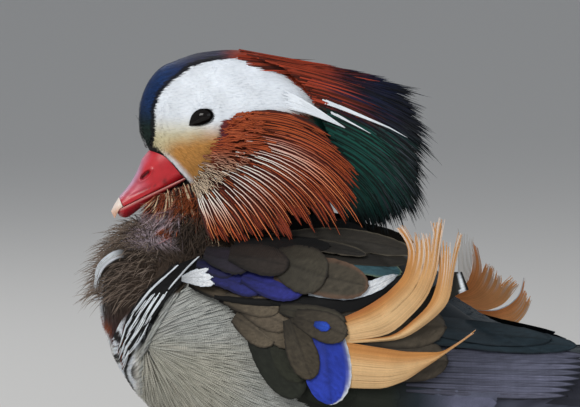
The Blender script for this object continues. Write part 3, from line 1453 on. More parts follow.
def bill_rings(kind):
    """Rings of one part of the bill. The upper one has the nostril, a dent with a raised lip, and
    a shallow fold along the mouth."""
    if kind == "nail":
        t = np.linspace(0, 1, 24)
        d = NAIL["start"] + 0.3 + (NAIL["end"] - NAIL["start"] - 0.3) * t
        height = keyed(BILL, 1, d) * (1 - NAIL["taper"] * t) * np.sqrt(1 - (0.97 * t) ** 6)
        wide = keyed(BILL, 3, d) * (1 - NAIL["narrowing"] * t) * np.sqrt(1 - (0.97 * t) ** 4)
        base = MOUTH_GAP - NAIL["hook"] * t * t * np.sqrt(1 - (0.9 * t) ** 8)
        return bill_half(d, wide, base, height)
    sign, column, end = (1, 1, NAIL["start"]) if kind == "upper" else (-1, 2, LOWER_END)
    d = np.linspace(BILL_BACK_END, end, 150)
    close = np.sqrt(1 - (0.9 * smooth(end - 4, end + 1, d)) ** 2) if kind == "lower" else 1
    height = sign * keyed(BILL, column, d) * close
    rings = bill_half(d, keyed(BILL, 3, d) * close, np.full(len(d), MOUTH_GAP * sign), height)
    if kind == "lower":
        return rings[:, ::-1]
    away = rings - GAPE
    along, over = away @ ALONG, away @ OVER
    hole = on_nostril(along, over)
    dent = NOSTRIL["deep"] * smooth(1.15, 0.75, hole)
    lip = 0.35 * np.exp(-(((hole - 1.35) / 0.25) ** 2))
    fold = 0.3 * np.exp(-(((over - 2.6) / 0.45) ** 2))
    fold = fold * smooth(-2, 4, along) * smooth(27, 20, along)
    rings[..., 0] -= np.sign(rings[..., 0]) * (dent - lip + fold)
    return rings


def bill_shares(kind, rings):
    """Share of the bloom and share of the dark, in the red and the green of the tint."""
    high = (rings - GAPE) @ OVER
    ridge = smooth(0.7, 1.0, high / np.maximum(high.max(1, keepdims=True), 0.5))
    d = (rings - GAPE) @ ALONG
    if kind == "upper":
        ridge = ridge * smooth(6, 16, d) * 0.8 + 0.3 * smooth(12, 20, d) * smooth(1.5, 4, high)
    if kind == "nail":
        ridge = smooth(-1.5, 2.0, high)
    if kind == "lower":
        ridge = 0.7 * smooth(-1.3, -0.5, high)
    dy, dz = d - NOSTRIL["distance"], high - NOSTRIL["height"]
    slit = np.exp(-(((dz + 0.31 * dy) / 0.5) ** 2)) * smooth(2.4, 1.4, np.abs(dy))
    groove = np.exp(-(((high - 2.2) / 0.2) ** 2)) * smooth(-2, 3, d) * smooth(26, 18, d) * 0.6
    dark = (slit + groove) * (kind == "upper")
    return np.stack([np.clip(ridge, 0, 1), np.clip(dark, 0, 1), 0 * dark], -1)


print("rings of the upper bill:", bill_rings("upper").shape[0])

# %% Bill
BEAKS = (
    # part, name, node, horn, bloom, roughness, slot
    ("upper", "upper_beak", "bill_upper", "c41624", "b98ba6", 0.4, "bill_horn"),
    ("lower", "lower_beak", "bill_lower", "b41824", "d9938c", 0.4, "bill_horn"),
    ("nail", "beak_nail", "bill_nail", "e0ab8c", "f3e2d6", 0.36, "nail_horn"),
)
for kind, name, node, code, bloom, roughness, slot in BEAKS:
    rings = capped(bill_rings(kind))
    tint = bill_shares(kind, rings)[:, ::-1].reshape(-1, 3)
    horn = bill_finish("horn_" + kind, code, bloom, roughness)
    beak = grid_piece(name, rings[:, ::-1], horn, tint, wrap=True)
    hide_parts(node)

# %% [markdown]
# ## Body feathers
# The breast is covered in loose brown down whose barbs don't hook together, so it looks like hair
# and blows about. Behind it stand two white bars on black, made of narrow feathers that lie along
# the bars. The flank is silky, with fine dark waves across its feathers, the belly white and the
# back dark. Each kind is a coat of its own, rooted where its colour lies.


# %% Zones of the body
def zones(p):
    """Masks of breast, bars, flank, belly and back at points of the body."""
    y, z = p[..., 1], p[..., 2]
    one, two = from_line(BAR_ONE, y, z), from_line(BAR_TWO, y, z)
    belly = z < line(BELLY_TOP, y)
    breast = ((one < -1.5) | ((z > 145) & (y < -96))) & ~belly
    bars = (one >= -4.0) & (two < 3.0) & (z < 146) & ~belly
    flank = (two >= 1.0) & (z < line(FLANK_TOP, y) + 1) & ~belly
    back = (two >= 2.0) & (z >= line(FLANK_TOP, y) - 1) & ~belly & ~breast
    return {"breast": breast, "bars": bars, "flank": flank, "belly": belly, "back": back}


def spread_on_body(count, seed, zone):
    """Even places on the body that lie in one zone, with their points."""
    y, angle = scatter(TORSO, count, seed)
    p = skin_point(TORSO, y, angle)
    keep = zones(p)[zone] & (reach(HEAD, p) > 1)
    return y[keep], angle[keep], p[keep]


print("places on the breast among 1000:", len(spread_on_body(1000, 5, "breast")[0]))


# %% Tufts that stand free
def free_tufts(p, heading, face, bend, length, width, steps=5):
    """Tufts that stand free: from p along heading, bent by u squared towards bend, their broad
    side towards face."""
    u = stations_of(steps, 1.1)
    c = np.array([-1.0, 1.0])
    way = heading[:, None] * u[None, :, None] + bend[:, None] * (u**2)[None, :, None]
    path = p[:, None] + length[:, None, None] * way
    ahead = unit(np.gradient(path, axis=1))
    across = unit(np.cross(face[:, None], ahead))
    return widened(path, across, width, tuft_shape(u), c), u, c


print("shares of a tuft's length:", told(stations_of(5, 1.1)))


# %% Feathers between two points
def seen_angle(skin, y, z, height):
    """Angle at which a point at a height over the skin shows at z in the side view, which looks
    down a little: three rounds of correcting for the lift and for the slant of the view."""
    aim = z
    for _ in range(3):
        angle = angle_at(skin, y, aim)
        p = skin_point(skin, y, angle)
        p = p + outward(skin, p) * height[:, None]
        aim = aim + z - (p[:, 2] - LOOK_DOWN * (p[:, 0] - LOOK_AT[0]))
    return angle_at(skin, y, aim)


def lay_between(skin, roots, tips, width, base, rise, **more):
    """Feathers from root to tip, both given in side view as y and z on the left side: y and angle
    run evenly between them, and the height over the skin goes from base at the root to base plus
    rise."""
    more = {"steps": 8, "columns": 4, "shape": vane_shape, "crown": 0.5} | more
    u = stations_of(more["steps"], 1.5)
    c = np.linspace(-1, 1, more["columns"] + 1)
    roots, tips = np.array(roots, float), np.array(tips, float)
    width, base, rise = (np.broadcast_to(v, len(roots)) for v in (width, base, rise))
    a0 = seen_angle(skin, roots[:, 0], roots[:, 1], base)
    a1 = seen_angle(skin, tips[:, 0], tips[:, 1], base + rise)
    y = roots[:, :1] + (tips[:, :1] - roots[:, :1]) * u
    angle = a0[:, None] + (a1 - a0)[:, None] * u
    p = skin_point(skin, y, angle)
    n = outward(skin, p)
    ahead = unit(np.gradient(p, axis=1))
    across = unit(np.cross(n, ahead))
    place = widened(p, across, width, more["shape"](u), c)
    height = (base[:, None] + rise[:, None] * u)[:, :, None] + more["crown"] * (1 - c**2)
    grid = on_skin(skin, place, height)
    length = np.linalg.norm(np.diff(p, axis=1), axis=-1).sum(1)
    return grid, u, c, length

# %% Breast down
BREAST_TUFTS = 90000


def breast_tufts():
    """Fine loose barbs over the breast, in a few directions, so that the down looks combed by the
    wind rather than brushed."""
    rng = default_rng(41)
    y, angle, p = spread_on_body(BREAST_TUFTS, 5, "breast")
    swirl = np.sin(p[:, 1] * 0.31 + 2 * np.sin(p[:, 2] * 0.22))
    swirl = swirl + np.sin(p[:, 2] * 0.37 - p[:, 1] * 0.17)
    slope = np.radians(88 + 17 * swirl + rng.normal(0, 10, len(y)))
    length = rng.uniform(5, 11, len(y))
    width = rng.uniform(0.3, 0.55, len(y))
    rise = rng.uniform(0.25, 1.5, len(y))
    grid, u, c = lay(
        TORSO, y, angle, slope, length, width, rise,
        steps=3, sink=0.5, curl=np.radians(-25), spring=1.0, **TUFT,
    )
    tint = shuffled(rng, painted(body_colour, grid, u, 0.3, 0.25), 0.25, 0.03)
    return feathers(TORSO, grid, u, c, tint, width, length)


breast = breast_tufts()
print("tufts on the breast:", len(breast[0]))

# %% [markdown]
# ## Down on neck and thighs
# Neck and thighs aren't slices of a table, so their down is rooted on points of the skin's mesh.

# %% Down rooted on the skin
NECK_TUFTS = 15000
THIGH_TUFTS = 7000
THIGH_WHITE = rgb("cdc5b4")
ROOT_DEPTH = 0.4


def skin_roots(rng, band, count, spread):
    """Random points of the skin's own mesh where band holds, scattered a little and sunk, and
    their normals."""
    read = []
    for key in ("co", "normal"):
        values = np.zeros((len(skin.data.vertices), 3), np.float32)
        skin.data.vertices.foreach_get(key, values.ravel())
        read.append(values.astype(float))
    places = read[0] / MM
    chosen = rng.choice(np.flatnonzero(band(places)), count)
    n = unit(read[1][chosen])
    return places[chosen] + rng.normal(0, spread, (count, 3)) - n * ROOT_DEPTH, n


def combed(rng, n, down, lift, spread):
    """Headings along the surface towards down, lifted off it by a share of the normal."""
    down = unit(down - n * (down * n).sum(1, keepdims=True))
    return unit(down + lift * n + rng.normal(0, spread, n.shape))


def neck_band(p):
    """Throat and neck between ruff and breast."""
    y, z = p[:, 1], p[:, 2]
    band = (z > 147) & (z < 181) & (y > -150) & (y < -78) & (reach(TORSO, p) > 0.96)
    return band & ~((reach(HEAD, p) < 1.05) & (z > 172))


def thigh_band(p):
    """Outer side of the thighs, below the belly."""
    x, y, z = p.T
    return (z < 72) & (z > 30) & (np.abs(x) > 10) & (y < 0) & (reach(TORSO, p) > 1.01)


def neck_tufts():
    """Down round the throat, rooted on the skin's own points: it lies down along the surface, in
    locks that turn forward and back by turns."""
    rng = default_rng(47)
    count = NECK_TUFTS
    p, n = skin_roots(rng, neck_band, count, 0.6)
    swirl = np.sin(p[:, 1] * 0.8 + 3 * np.sin(p[:, 2] * 0.45))[:, None]
    heading = combed(rng, n, np.array([0, -0.3, -1.0]) + [0, 0.8, 0] * swirl, 0.32, 0.2)
    length = rng.uniform(5, 11, count)
    width = rng.uniform(0.35, 0.75, count)
    bend = -0.2 * n + rng.normal(0, 0.15, (count, 3))
    grid, u, c = free_tufts(p, heading, n, bend, length, width, steps=3)
    tint = shuffled(rng, painted(neck_colour, grid, u, 0.1, 0.55), 0.55, 0.06)
    return feathers(TORSO, grid, u, c, tint, width, length)


def thigh_tufts():
    """Short pale down over the thighs, rooted on the skin and combed towards the shank."""
    rng = default_rng(59)
    count = THIGH_TUFTS
    p, n = skin_roots(rng, thigh_band, count, 0.7)
    heading = combed(rng, n, np.array([0, 0.25, -1.0]) + 0 * n, 0.3, 0.12)
    length = rng.uniform(4, 8, count) * smooth(26, 50, p[:, 2] + 8)
    width = rng.uniform(0.8, 1.6, count)
    grid, u, c = free_tufts(p, heading, n, -0.2 * n, length, width, steps=3)
    tint = THIGH_WHITE * (0.6 + 0.4 * u)[None, :, None, None] + 0 * grid
    tint = shuffled(rng, tint, 0.12, 0.02)
    return feathers(TORSO, grid, u, c, tint, width, length)


def neck_colour(p):
    """Lilac grey with rust in front of the throat, brown behind."""
    y, z = p[..., 1], p[..., 2]
    colour = mix(BROWN * 0.8, LILAC * 1.1, smooth(-126, -131, y) * smooth(150, 154, z))
    front = smooth(4, 2, np.hypot(y + 147, z - 158))
    rear = smooth(4, 2, np.hypot(y + 131, z - 157))
    rust = np.maximum(np.maximum(front, rear), smooth(161, 168, z) * 0.8)
    return mix(colour, RUST, rust)


down = plumage("breast_down", roughness=0.75, sheen=0.06, barb=0.08, streak=0.15)
make_coat("breast_down", [breast, neck_tufts()], down)

# %% [markdown]
# ## Hackles of the chin, wisps and a ruffled feather
# Loose feathers break the outline in front: hackles under the gape, wisps on the breast, and one
# larger feather that the wind has lifted.

# %% Loose feathers in front
CHIN_HACKLES = 1800
FRONT_WISPS = 1100
HACKLE_CREAM, HACKLE_RUST, HACKLE_BLACK = rgb("eccfa8"), rgb("8f3f1f"), rgb("1c0d0a")
WISP_TIP = rgb("8d7d70")
RUFFLED_PATH = [(-144, 146.5), (-151, 146.6), (-156.5, 144), (-160.2, 139.2), (-161.8, 132.8)]
RUFFLED_HALF = [(0, 1.8), (0.3, 2.2), (0.6, 2), (0.85, 0.9), (1, 0.15)]
RUFFLED_STRIPS = 21


def chin_hackles():
    """Hackles under the gape, cream, rust and dark, that fan down from the jaw to the ruff's front
    edge: root and tip both move along a line, and the path is bowed out over the throat."""
    rng = default_rng(48)
    count = CHIN_HACKLES
    t = rng.uniform(0, 1.15, count)
    side = np.where(np.arange(count) % 2 == 0, 1.0, -1.0)
    root = np.stack([side * (6 + 9 * t), -138 + 15 * t, 167.5 + 6 * t], 1)
    tip = np.stack([side * (13 + 13 * t), -143 + 27 * t, 164 - 11 * t], 1)
    p = root + rng.normal(0, 0.8, (count, 3))
    far = np.linalg.norm(tip - root, axis=1)
    heading = unit(tip - root + rng.normal(0, 1.0, (count, 3)))
    length = far * rng.uniform(0.55, 1.12, count)
    face = np.stack([side, -0.3 + 0 * t, 0 * t], 1)
    bend = np.stack([side * -0.12, -0.12 + 0 * t, -0.02 + 0 * t], 1)
    heading = heading + np.stack([side * 0.16, 0.1 + 0 * t, 0 * t], 1)
    grid, u, c = free_tufts(p, heading, face, bend, length, np.full(count, 0.5), steps=5)
    kind = rng.uniform(0, 1, count)[:, None]
    dark = np.where(kind < 0.7, HACKLE_RUST, HACKLE_BLACK)
    tint = np.where(kind < 0.22, HACKLE_CREAM, dark)
    tint = tint[:, None, None] * (0.6 + 0.5 * u)[None, :, None, None] + 0 * grid
    return feathers(HEAD, grid, u, c, tint, 0.5, length)


def front_wisps():
    """Long wisps that stand off the front of the breast, ruffled, lighter at their tips."""
    rng = default_rng(49)
    y, _, p = spread_on_body(30000, 9, "breast")
    keep = np.flatnonzero((y < -136) & (p[:, 2] > 128) & (p[:, 2] < 158))
    keep = keep[rng.permutation(len(keep))[:FRONT_WISPS]]
    p = p[keep]
    count = len(p)
    out = outward(TORSO, p)
    heading = unit(0.75 * out + [0, -0.15, 0.2] + rng.normal(0, 0.25, (count, 3)))
    bend = [0, -0.1, -0.65] + rng.normal(0, 0.15, (count, 3))
    length = rng.uniform(4, 11, count)
    face = unit(np.stack([np.sign(p[:, 0]) + 0.01, -0.2 + 0 * length, 0.3 + 0 * length], 1))
    width = rng.uniform(0.25, 0.45, count)
    grid, u, c = free_tufts(p, heading, face, bend, length, width, steps=5)
    tint = mix(BROWN * 0.9 + 0 * grid, WISP_TIP, (u**1.5)[None, :, None])
    return feathers(TORSO, grid, u, c, shuffled(rng, tint, 0.3), width, length)


def ruffled_feather(side):
    """One ruffled feather in front, brown at its base, white towards its tip with a dark lower
    edge: a ribbon along a path, made of strips side by side."""
    u = np.linspace(0, 1, 15)
    centre = np.array(more_stops(RUFFLED_PATH, 15))
    ahead = unit(np.gradient(centre, axis=0))
    out = np.stack([-ahead[:, 1], ahead[:, 0]], 1)
    s = np.linspace(-1, 1, RUFFLED_STRIPS)
    c = np.array([-1.0, 1.0])
    place = (s[:, None, None] + c * 0.09) * keyed(RUFFLED_HALF, 1, u)[None, :, None]
    yz = centre[None, :, None] + out[None, :, None] * place[..., None]
    x = 19.0 + 9.0 * (1 - u)[None, :, None] + 0.8 * (1 - s**2)[:, None, None] + 0 * place
    grid = np.stack([side * x, yz[..., 0], yz[..., 1]], -1)
    if side > 0:
        grid = grid[:, :, ::-1]
    white = smooth(0.2, 0.42, u)[None, :] * smooth(0.45, 0.2, s)[:, None]
    rng = default_rng(50)
    grid = grid + rng.normal(0, 0.35, (RUFFLED_STRIPS, 1, 1, 3)) * (u**2)[None, :, None, None]
    tint = mix(BROWN * 0.35 + 0 * grid, WHITE * 0.9, white[:, :, None] + 0 * place)
    tint = shuffled(rng, tint, 0.16, 0.02)
    return feathers(TORSO, grid, u, c, tint, 0.7, 24)


ruffled = [ruffled_feather(side) for side in (LEFT, RIGHT)]
loose = [chin_hackles(), front_wisps(), thigh_tufts()] + ruffled
make_coat("breast_wisps", loose, down)

# %% [markdown]
# ## Bars, belly and back
# The two white bars are narrow feathers that run along the border lines. Belly and back are plain
# vanes, small and pale below, larger and dark above.


# %% Bars, belly and back
def vane_coat(zone, count, seed, slope, length, width, rise, colour, spread, **more):
    """One batch of vanes in a zone of the body. Their slopes wander by some degrees."""
    rng = default_rng(seed)
    y, angle, p = spread_on_body(count, seed, zone)
    wander = more.pop("wander", 5)
    share = more.pop("share", 0.35)
    slope = np.radians(slope(p) + rng.normal(0, wander, len(y)))
    size = jitter(rng, len(y), 0.15)
    grid, u, c = lay(
        TORSO, y, angle, slope, length * size, width * size, rise * jitter(rng, len(y), 0.3), **more
    )
    tint = shuffled(rng, painted(colour, grid, u, share, 0.25), spread)
    return feathers(TORSO, grid, u, c, tint, width * size, length * size)


def steady(angle):
    """A slope in degrees that is the same everywhere."""
    return lambda p: angle + 0 * p[:, 0]


def streaked(p):
    """Body colours, but low on the breast each feather is white, black or rusty by turns."""
    y, z = p[..., 1], p[..., 2]
    turn = np.sin(from_line(BAR_ONE, y, z) * 1.7 + 2.2 * np.sin(z * 0.33) + 1.2 * np.sin(y * 0.8))
    pale = mix(BLACK, WHITE, smooth(-0.1, 0.2, turn))
    low = smooth(124, 119, z) * smooth(1, -2, from_line(BAR_TWO, y, z)) * smooth(-160, -154, y)
    return mix(body_colour(p), pale, low)


BAR_STRANDS = 5200


def bar_strands():
    """Narrow feathers that run along the two bars. Place w counts from bar one at 0 to bar two at
    1; those near 0 and 1 are white, the rest black, and low down every third is white or rusty."""
    rng = default_rng(58)
    one, two = BAR_ONE + BAR_FOOT[:1], BAR_TWO + BAR_FOOT[1:]
    count = BAR_STRANDS
    t = rng.uniform(-0.04, 1.0, count)
    w = rng.uniform(-0.25, 1.5, count)
    low = t > 0.5
    white = rng.uniform(0, 1, count) < np.where(low, 0.03, 0.08)
    near = np.where((rng.uniform(0, 1, count) < 0.5) | (t > 0.34), 0.0, 1.0)
    w = np.minimum(w, 1.5 - 0.55 * smooth(0.25, 0.7, t))
    w = np.where(white & ~low, near + rng.normal(0, 0.028, count), w)
    row = np.round(rng.uniform(-0.4, 3.4, count)) * 0.34
    w = np.where(white & low, row + rng.normal(0, 0.06, count), w)
    far = t + rng.uniform(0.13, 0.2, count)

    def place(part):
        first, second = along_line(one, part), along_line(two, part)
        past = np.maximum(part - 1, 0)[:, None] * (np.array(one[-1]) - np.array(one[-2])) * 5
        return first + (second - first) * w[:, None] + past

    lift = np.where(white, 2.1, 1.5) + rng.uniform(-0.2, 0.3, count)
    width = np.where(white, 0.55, 1.1) * jitter(rng, count, 0.2)
    grid, u, c, real = lay_between(
        TORSO, place(t), place(far), width, lift, 0.5,
        steps=4, columns=1, shape=tuft_shape, crown=0.0,
    )
    rust = (rng.uniform(0, 1, count) < 0.25) & (t > 0.75)
    tint = np.where(white[:, None], WHITE, np.where(rust[:, None], RUST * 0.7, BLACK))
    tint = shuffled(rng, tint[:, None, None] + 0 * grid, 0.08, 0.01)
    sides = [to_side(side, grid, tint) for side in (LEFT, RIGHT)]
    return [feathers(TORSO, points, u, c, paint, width, real) for points, paint in sides]


vane = plumage("body_vane", roughness=0.6, sheen=0.03, barb=0.3)
BODY_VANES = (
    # zone, places, seed, slope, length, width, rise, colour, spread, and what differs
    ("bars", 60000, 43, steady(122), 7.5, 1.5, 1.2, streaked, 0.1,
     {"steps": 4, "columns": 1, "shape": tuft_shape, "share": 0.9, "wander": 4}),
    ("belly", 8000, 44, steady(7), 9.0, 6.0, 1.2, body_colour, 0.05, {"steps": 4}),
    ("back", 4400, 45, steady(7), 15.0, 9.5, 0.8, body_colour, 0.1,
     {"steps": 5, "columns": 4, "wander": 3}),
)
vanes = [vane_coat(*row[:-1], **row[-1]) for row in BODY_VANES]
make_coat("body_vanes", vanes + bar_strands(), vane)

# %% [markdown]
# ## The barred flank
# The long flank feathers stream out from a place low behind the bars. Each is grey and crossed by
# fine dark waves, arcs about that place, so the pattern runs on from feather to feather. The
# barbs are so soft that no feather shows its edge, so the coat is made of narrow overlapping tufts.

# %% Flank
FLANK_ORIGIN = (-142.0, 111.0)
WAVE_PERIOD = 0.72
FLANK_GOLD = rgb("b5ad92")
FLANK_VANES = 3600
FLANK_TUFTS = 40000


def flank_slope(p):
    """Away from the origin: half as steep above it, fully below, and a little up further back."""
    turn = np.degrees(np.arctan2(FLANK_ORIGIN[1] - p[:, 2], p[:, 1] - FLANK_ORIGIN[0]))
    return np.where(turn > 0, turn * 0.9, turn * 0.35) - 6 * smooth(-112, -95, p[:, 1])


def barred_finish():
    """Pale grey with dark arcs a millimetre apart round the origin, shaken by noise; the tint
    carries the rest."""
    f = Finish("barred_vane")
    place = f.objects()
    parts = f.split(place)
    y = f.math("SUBTRACT", parts[1], FLANK_ORIGIN[0] * MM)
    z = f.math("SUBTRACT", parts[2], FLANK_ORIGIN[1] * MM)
    away = f.math("ADD", f.math("MULTIPLY", y, y), f.math("MULTIPLY", z, z))
    shake = f.math("MULTIPLY", f.noise(place, 300.0, 2.0), 0.0025)
    away = f.math("ADD", f.math("POWER", away, 0.5), shake)
    wave = f.math("SINE", f.math("MULTIPLY", away, 2 * math.pi / (WAVE_PERIOD * MM)))
    colour = f.shaded(f.tint(), f.ramp(wave, -0.8, 0.7, 0.76, 1.05))
    return f.done(colour, {"Roughness": 0.55, "Specular IOR Level": 0.3}, wave, 0.1)


def flank_tint(p):
    """Cool grey, gold below and in front."""
    warm = smooth(118, 106, p[..., 2]) * smooth(-96, -120, p[..., 1])
    colour = mix(FLANK_GREY, FLANK_GOLD, warm * 0.4)
    return mix(colour, BELLY_WHITE, smooth(5, -5, p[..., 2] - line(BELLY_TOP, p[..., 1])))


def flank_feathers():
    """A ground of broad vanes, then two passes of narrow tufts with dark ones among them."""
    rng = default_rng(57)
    ground = vane_coat(
        "flank", FLANK_VANES, 46, flank_slope, 15.0, 11.0, 0.1, flank_tint, 0.03, steps=5
    )
    y, angle, p = spread_on_body(FLANK_TUFTS, 47, "flank")
    slope = np.radians(flank_slope(p) + rng.normal(0, 4, len(y)))
    length = rng.uniform(10, 17, len(y))
    width = rng.uniform(0.6, 1.0, len(y))
    grid, u, c = lay(
        TORSO, y, angle, slope, length, width, rng.uniform(0.6, 1.3, len(y)),
        steps=4, sink=0.3, **TUFT,
    )
    dark = np.where(rng.uniform(0, 1, len(y)) < 0.05, 0.8, 1.0)[:, None, None, None]
    tint = shuffled(rng, painted(flank_tint, grid, u, 0.4, 0.18) * dark, 0.1, 0.015)
    return [ground, feathers(TORSO, grid, u, c, tint, width, length)]


make_coat("flank_coat", flank_feathers(), barred_finish())

# %% [markdown]
# ## The folded wing
# A folded wing is a stack of blades: small coverts over larger ones, over the secondaries with
# their blue panel, over the primaries that reach past the tail root. A thin core gives the pile
# its thickness, and every feather is laid over it at the height of its layer.

# %% Core of the wing
# y and angle or thickness
WING_LOWER = [
    (-116, 132), (-105, 123), (-97, 112), (-90, 99), (-78, 88), (-60, 81), (-30, 80), (0, 84),
    (36, 88),
]
WING_UPPER = [(-116, 40), (-100, 48), (-80, 61), (-60, 69), (-30, 68), (0, 62), (36, 52)]
WING_THICK = [(-116, 1.6), (-92, 4.4), (-40, 5), (10, 3.6), (36, 1.6)]
WING_BROWN, WING_OLIVE, WING_STRIPE = rgb("3a342d"), rgb("23281f"), rgb("74778e")


def wing_angles(y, s):
    """Angle at part s of the wing's height at y."""
    low = angle_at(WING_BED, y, keyed(WING_LOWER, 1, y))
    high = np.radians(keyed(WING_UPPER, 1, y))
    return low * (1 - s) + high * s


def wing_colour(p):
    """Browns and olives of the wing, blue before and in the panel."""
    y, z = p[..., 1], p[..., 2]
    colour = mix(WING_BROWN, WING_OLIVE, smooth(112, 104, z))
    colour = mix(colour, SLATE, smooth(-46, -34, y))
    low = smooth(113, 110.5, z + 0.1 * (y + 2)) * smooth(-28, -23, y)
    stripes = (0.85 + 0.2 * np.sin(z * 3.1 + 0.2 * y))[..., None]
    colour = mix(colour, WING_STRIPE * stripes, low)
    blue = smooth(-116, -112, y) * smooth(-80, -86, y)
    blue = blue * smooth(129, 132, z) * smooth(149, 145, z)
    return mix(colour, WING_BLUE, blue)


def wing_core(side, name):
    """A sheet over the flank, as thick as the folded wing, its edges sunk into the skin."""
    y = np.linspace(-118, 38, 70)[:, None]
    s = np.linspace(-0.04, 1.04, 34)[None, :]
    angle = wing_angles(y + 0 * s, s + 0 * y)
    p = skin_point(WING_BED, y + 0 * s, angle)
    edge = np.clip((1 - np.abs(2 * s - 1) ** 5) * (1 - np.abs((y + 40) / 78) ** 7), -0.4, 1)
    grid = p + outward(WING_BED, p) * (keyed(WING_THICK, 1, y) * edge)[..., None]
    grid, tint = to_side(side, grid[None], wing_colour(grid[None]) * 0.6)
    maps = {"vane": np.zeros((tint[..., 0].size, 2))}
    return grid_piece(
        "wing_core_" + name, grid[0], vane, tint.reshape(-1, 3), maps=maps
    )


print("angles of the wing at y -60:", told([wing_angles(-60.0, v) for v in (0, 1)]))

# %% Tiers and primaries
# roots from y z to y z, half the number of feathers, length, width, slope
WING_TIERS = [
    (-112, 129, -108, 139, 2, 24, 13, -6),
    (-100, 127, -92, 143, 2, 28, 17, -4),
    (-85, 127, -76, 148, 3, 32, 15, -4),
    (-67, 125, -58, 148, 3, 42, 16, -8),
    (-94, 102, -100, 118, 2, 22, 14, -14),
    (-81, 93, -87, 117, 2, 24, 15, -12),
    (-66, 88, -71, 115, 3, 27, 14, -10),
    (-50, 88, -53, 110, 3, 50, 15, -3),
    (-42, 106, -36, 121, 3, 62, 16, -8),
]
PRIMARIES = {"count": 5, "y": 2, "z": 90, "spacing": 2.4, "length": 109, "step": 12, "width": 12}
PRIMARY_INNER, PRIMARY_OUTER = rgb("3a3c48"), rgb("8b8fa6")


def wing_feathers(side):
    """Tiers of vanes from the tables, rear ones first."""
    rng = default_rng(51)
    batches = []
    for y0, z0, y1, z1, count, length, width, slope in WING_TIERS[::-1]:
        t = (np.arange(count * 2) + 0.5) / (count * 2)
        roots = np.stack([y0 + (y1 - y0) * t, z0 + (z1 - z0) * t], 1)
        a = np.radians(slope)
        run = length * np.array([math.cos(a), math.sin(a)])
        tips = roots + run * jitter(rng, len(t), 0.08)[:, None]
        base = keyed(WING_THICK, 1, roots[:, 0]) * 0.9
        grid, u, c, real = lay_between(WING_BED, roots, tips, width * 0.9, base, 0.6)
        tint = shuffled(rng, painted(wing_colour, grid, u, 1.0, 0.35), 0.12)
        grid, tint = to_side(side, grid, tint)
        batches.append(feathers(WING_BED, grid, u, c, tint, width, real))
    return batches


def primaries(side):
    """Long blades that reach back over the tail root, the lowest the longest."""
    i = np.arange(PRIMARIES["count"])
    z = PRIMARIES["z"] + PRIMARIES["spacing"] * i
    roots = np.stack([PRIMARIES["y"] - 10 + 0 * i, z + 4], 1)
    tips = np.stack([PRIMARIES["y"] + PRIMARIES["length"] - PRIMARIES["step"] * i, z + 3.5], 1)
    grid, u, c, real = lay_between(
        WING_BED, roots, tips, PRIMARIES["width"], 1.2 + 0.5 * i, 0.6, steps=14,
        shape=lambda t: vane_shape(t, 0.75),
    )
    tint = mix(PRIMARY_INNER + 0 * grid, PRIMARY_OUTER, smooth(-0.2, 1.0, c)[None, None, :])
    rng = default_rng(53)
    grid, tint = to_side(side, grid, shuffled(rng, tint, 0.1))
    return [feathers(WING_BED, grid, u, c, tint, PRIMARIES["width"], real)]


print("feathers in the tiers:", 2 * sum(row[4] for row in WING_TIERS))

# %% [markdown]
# ## The feathers that can be told apart
# In the photograph some fifty feathers of the wing have their own place, colour and rim. Each is a
# row of a table, laid in the table's order, the hindmost first.

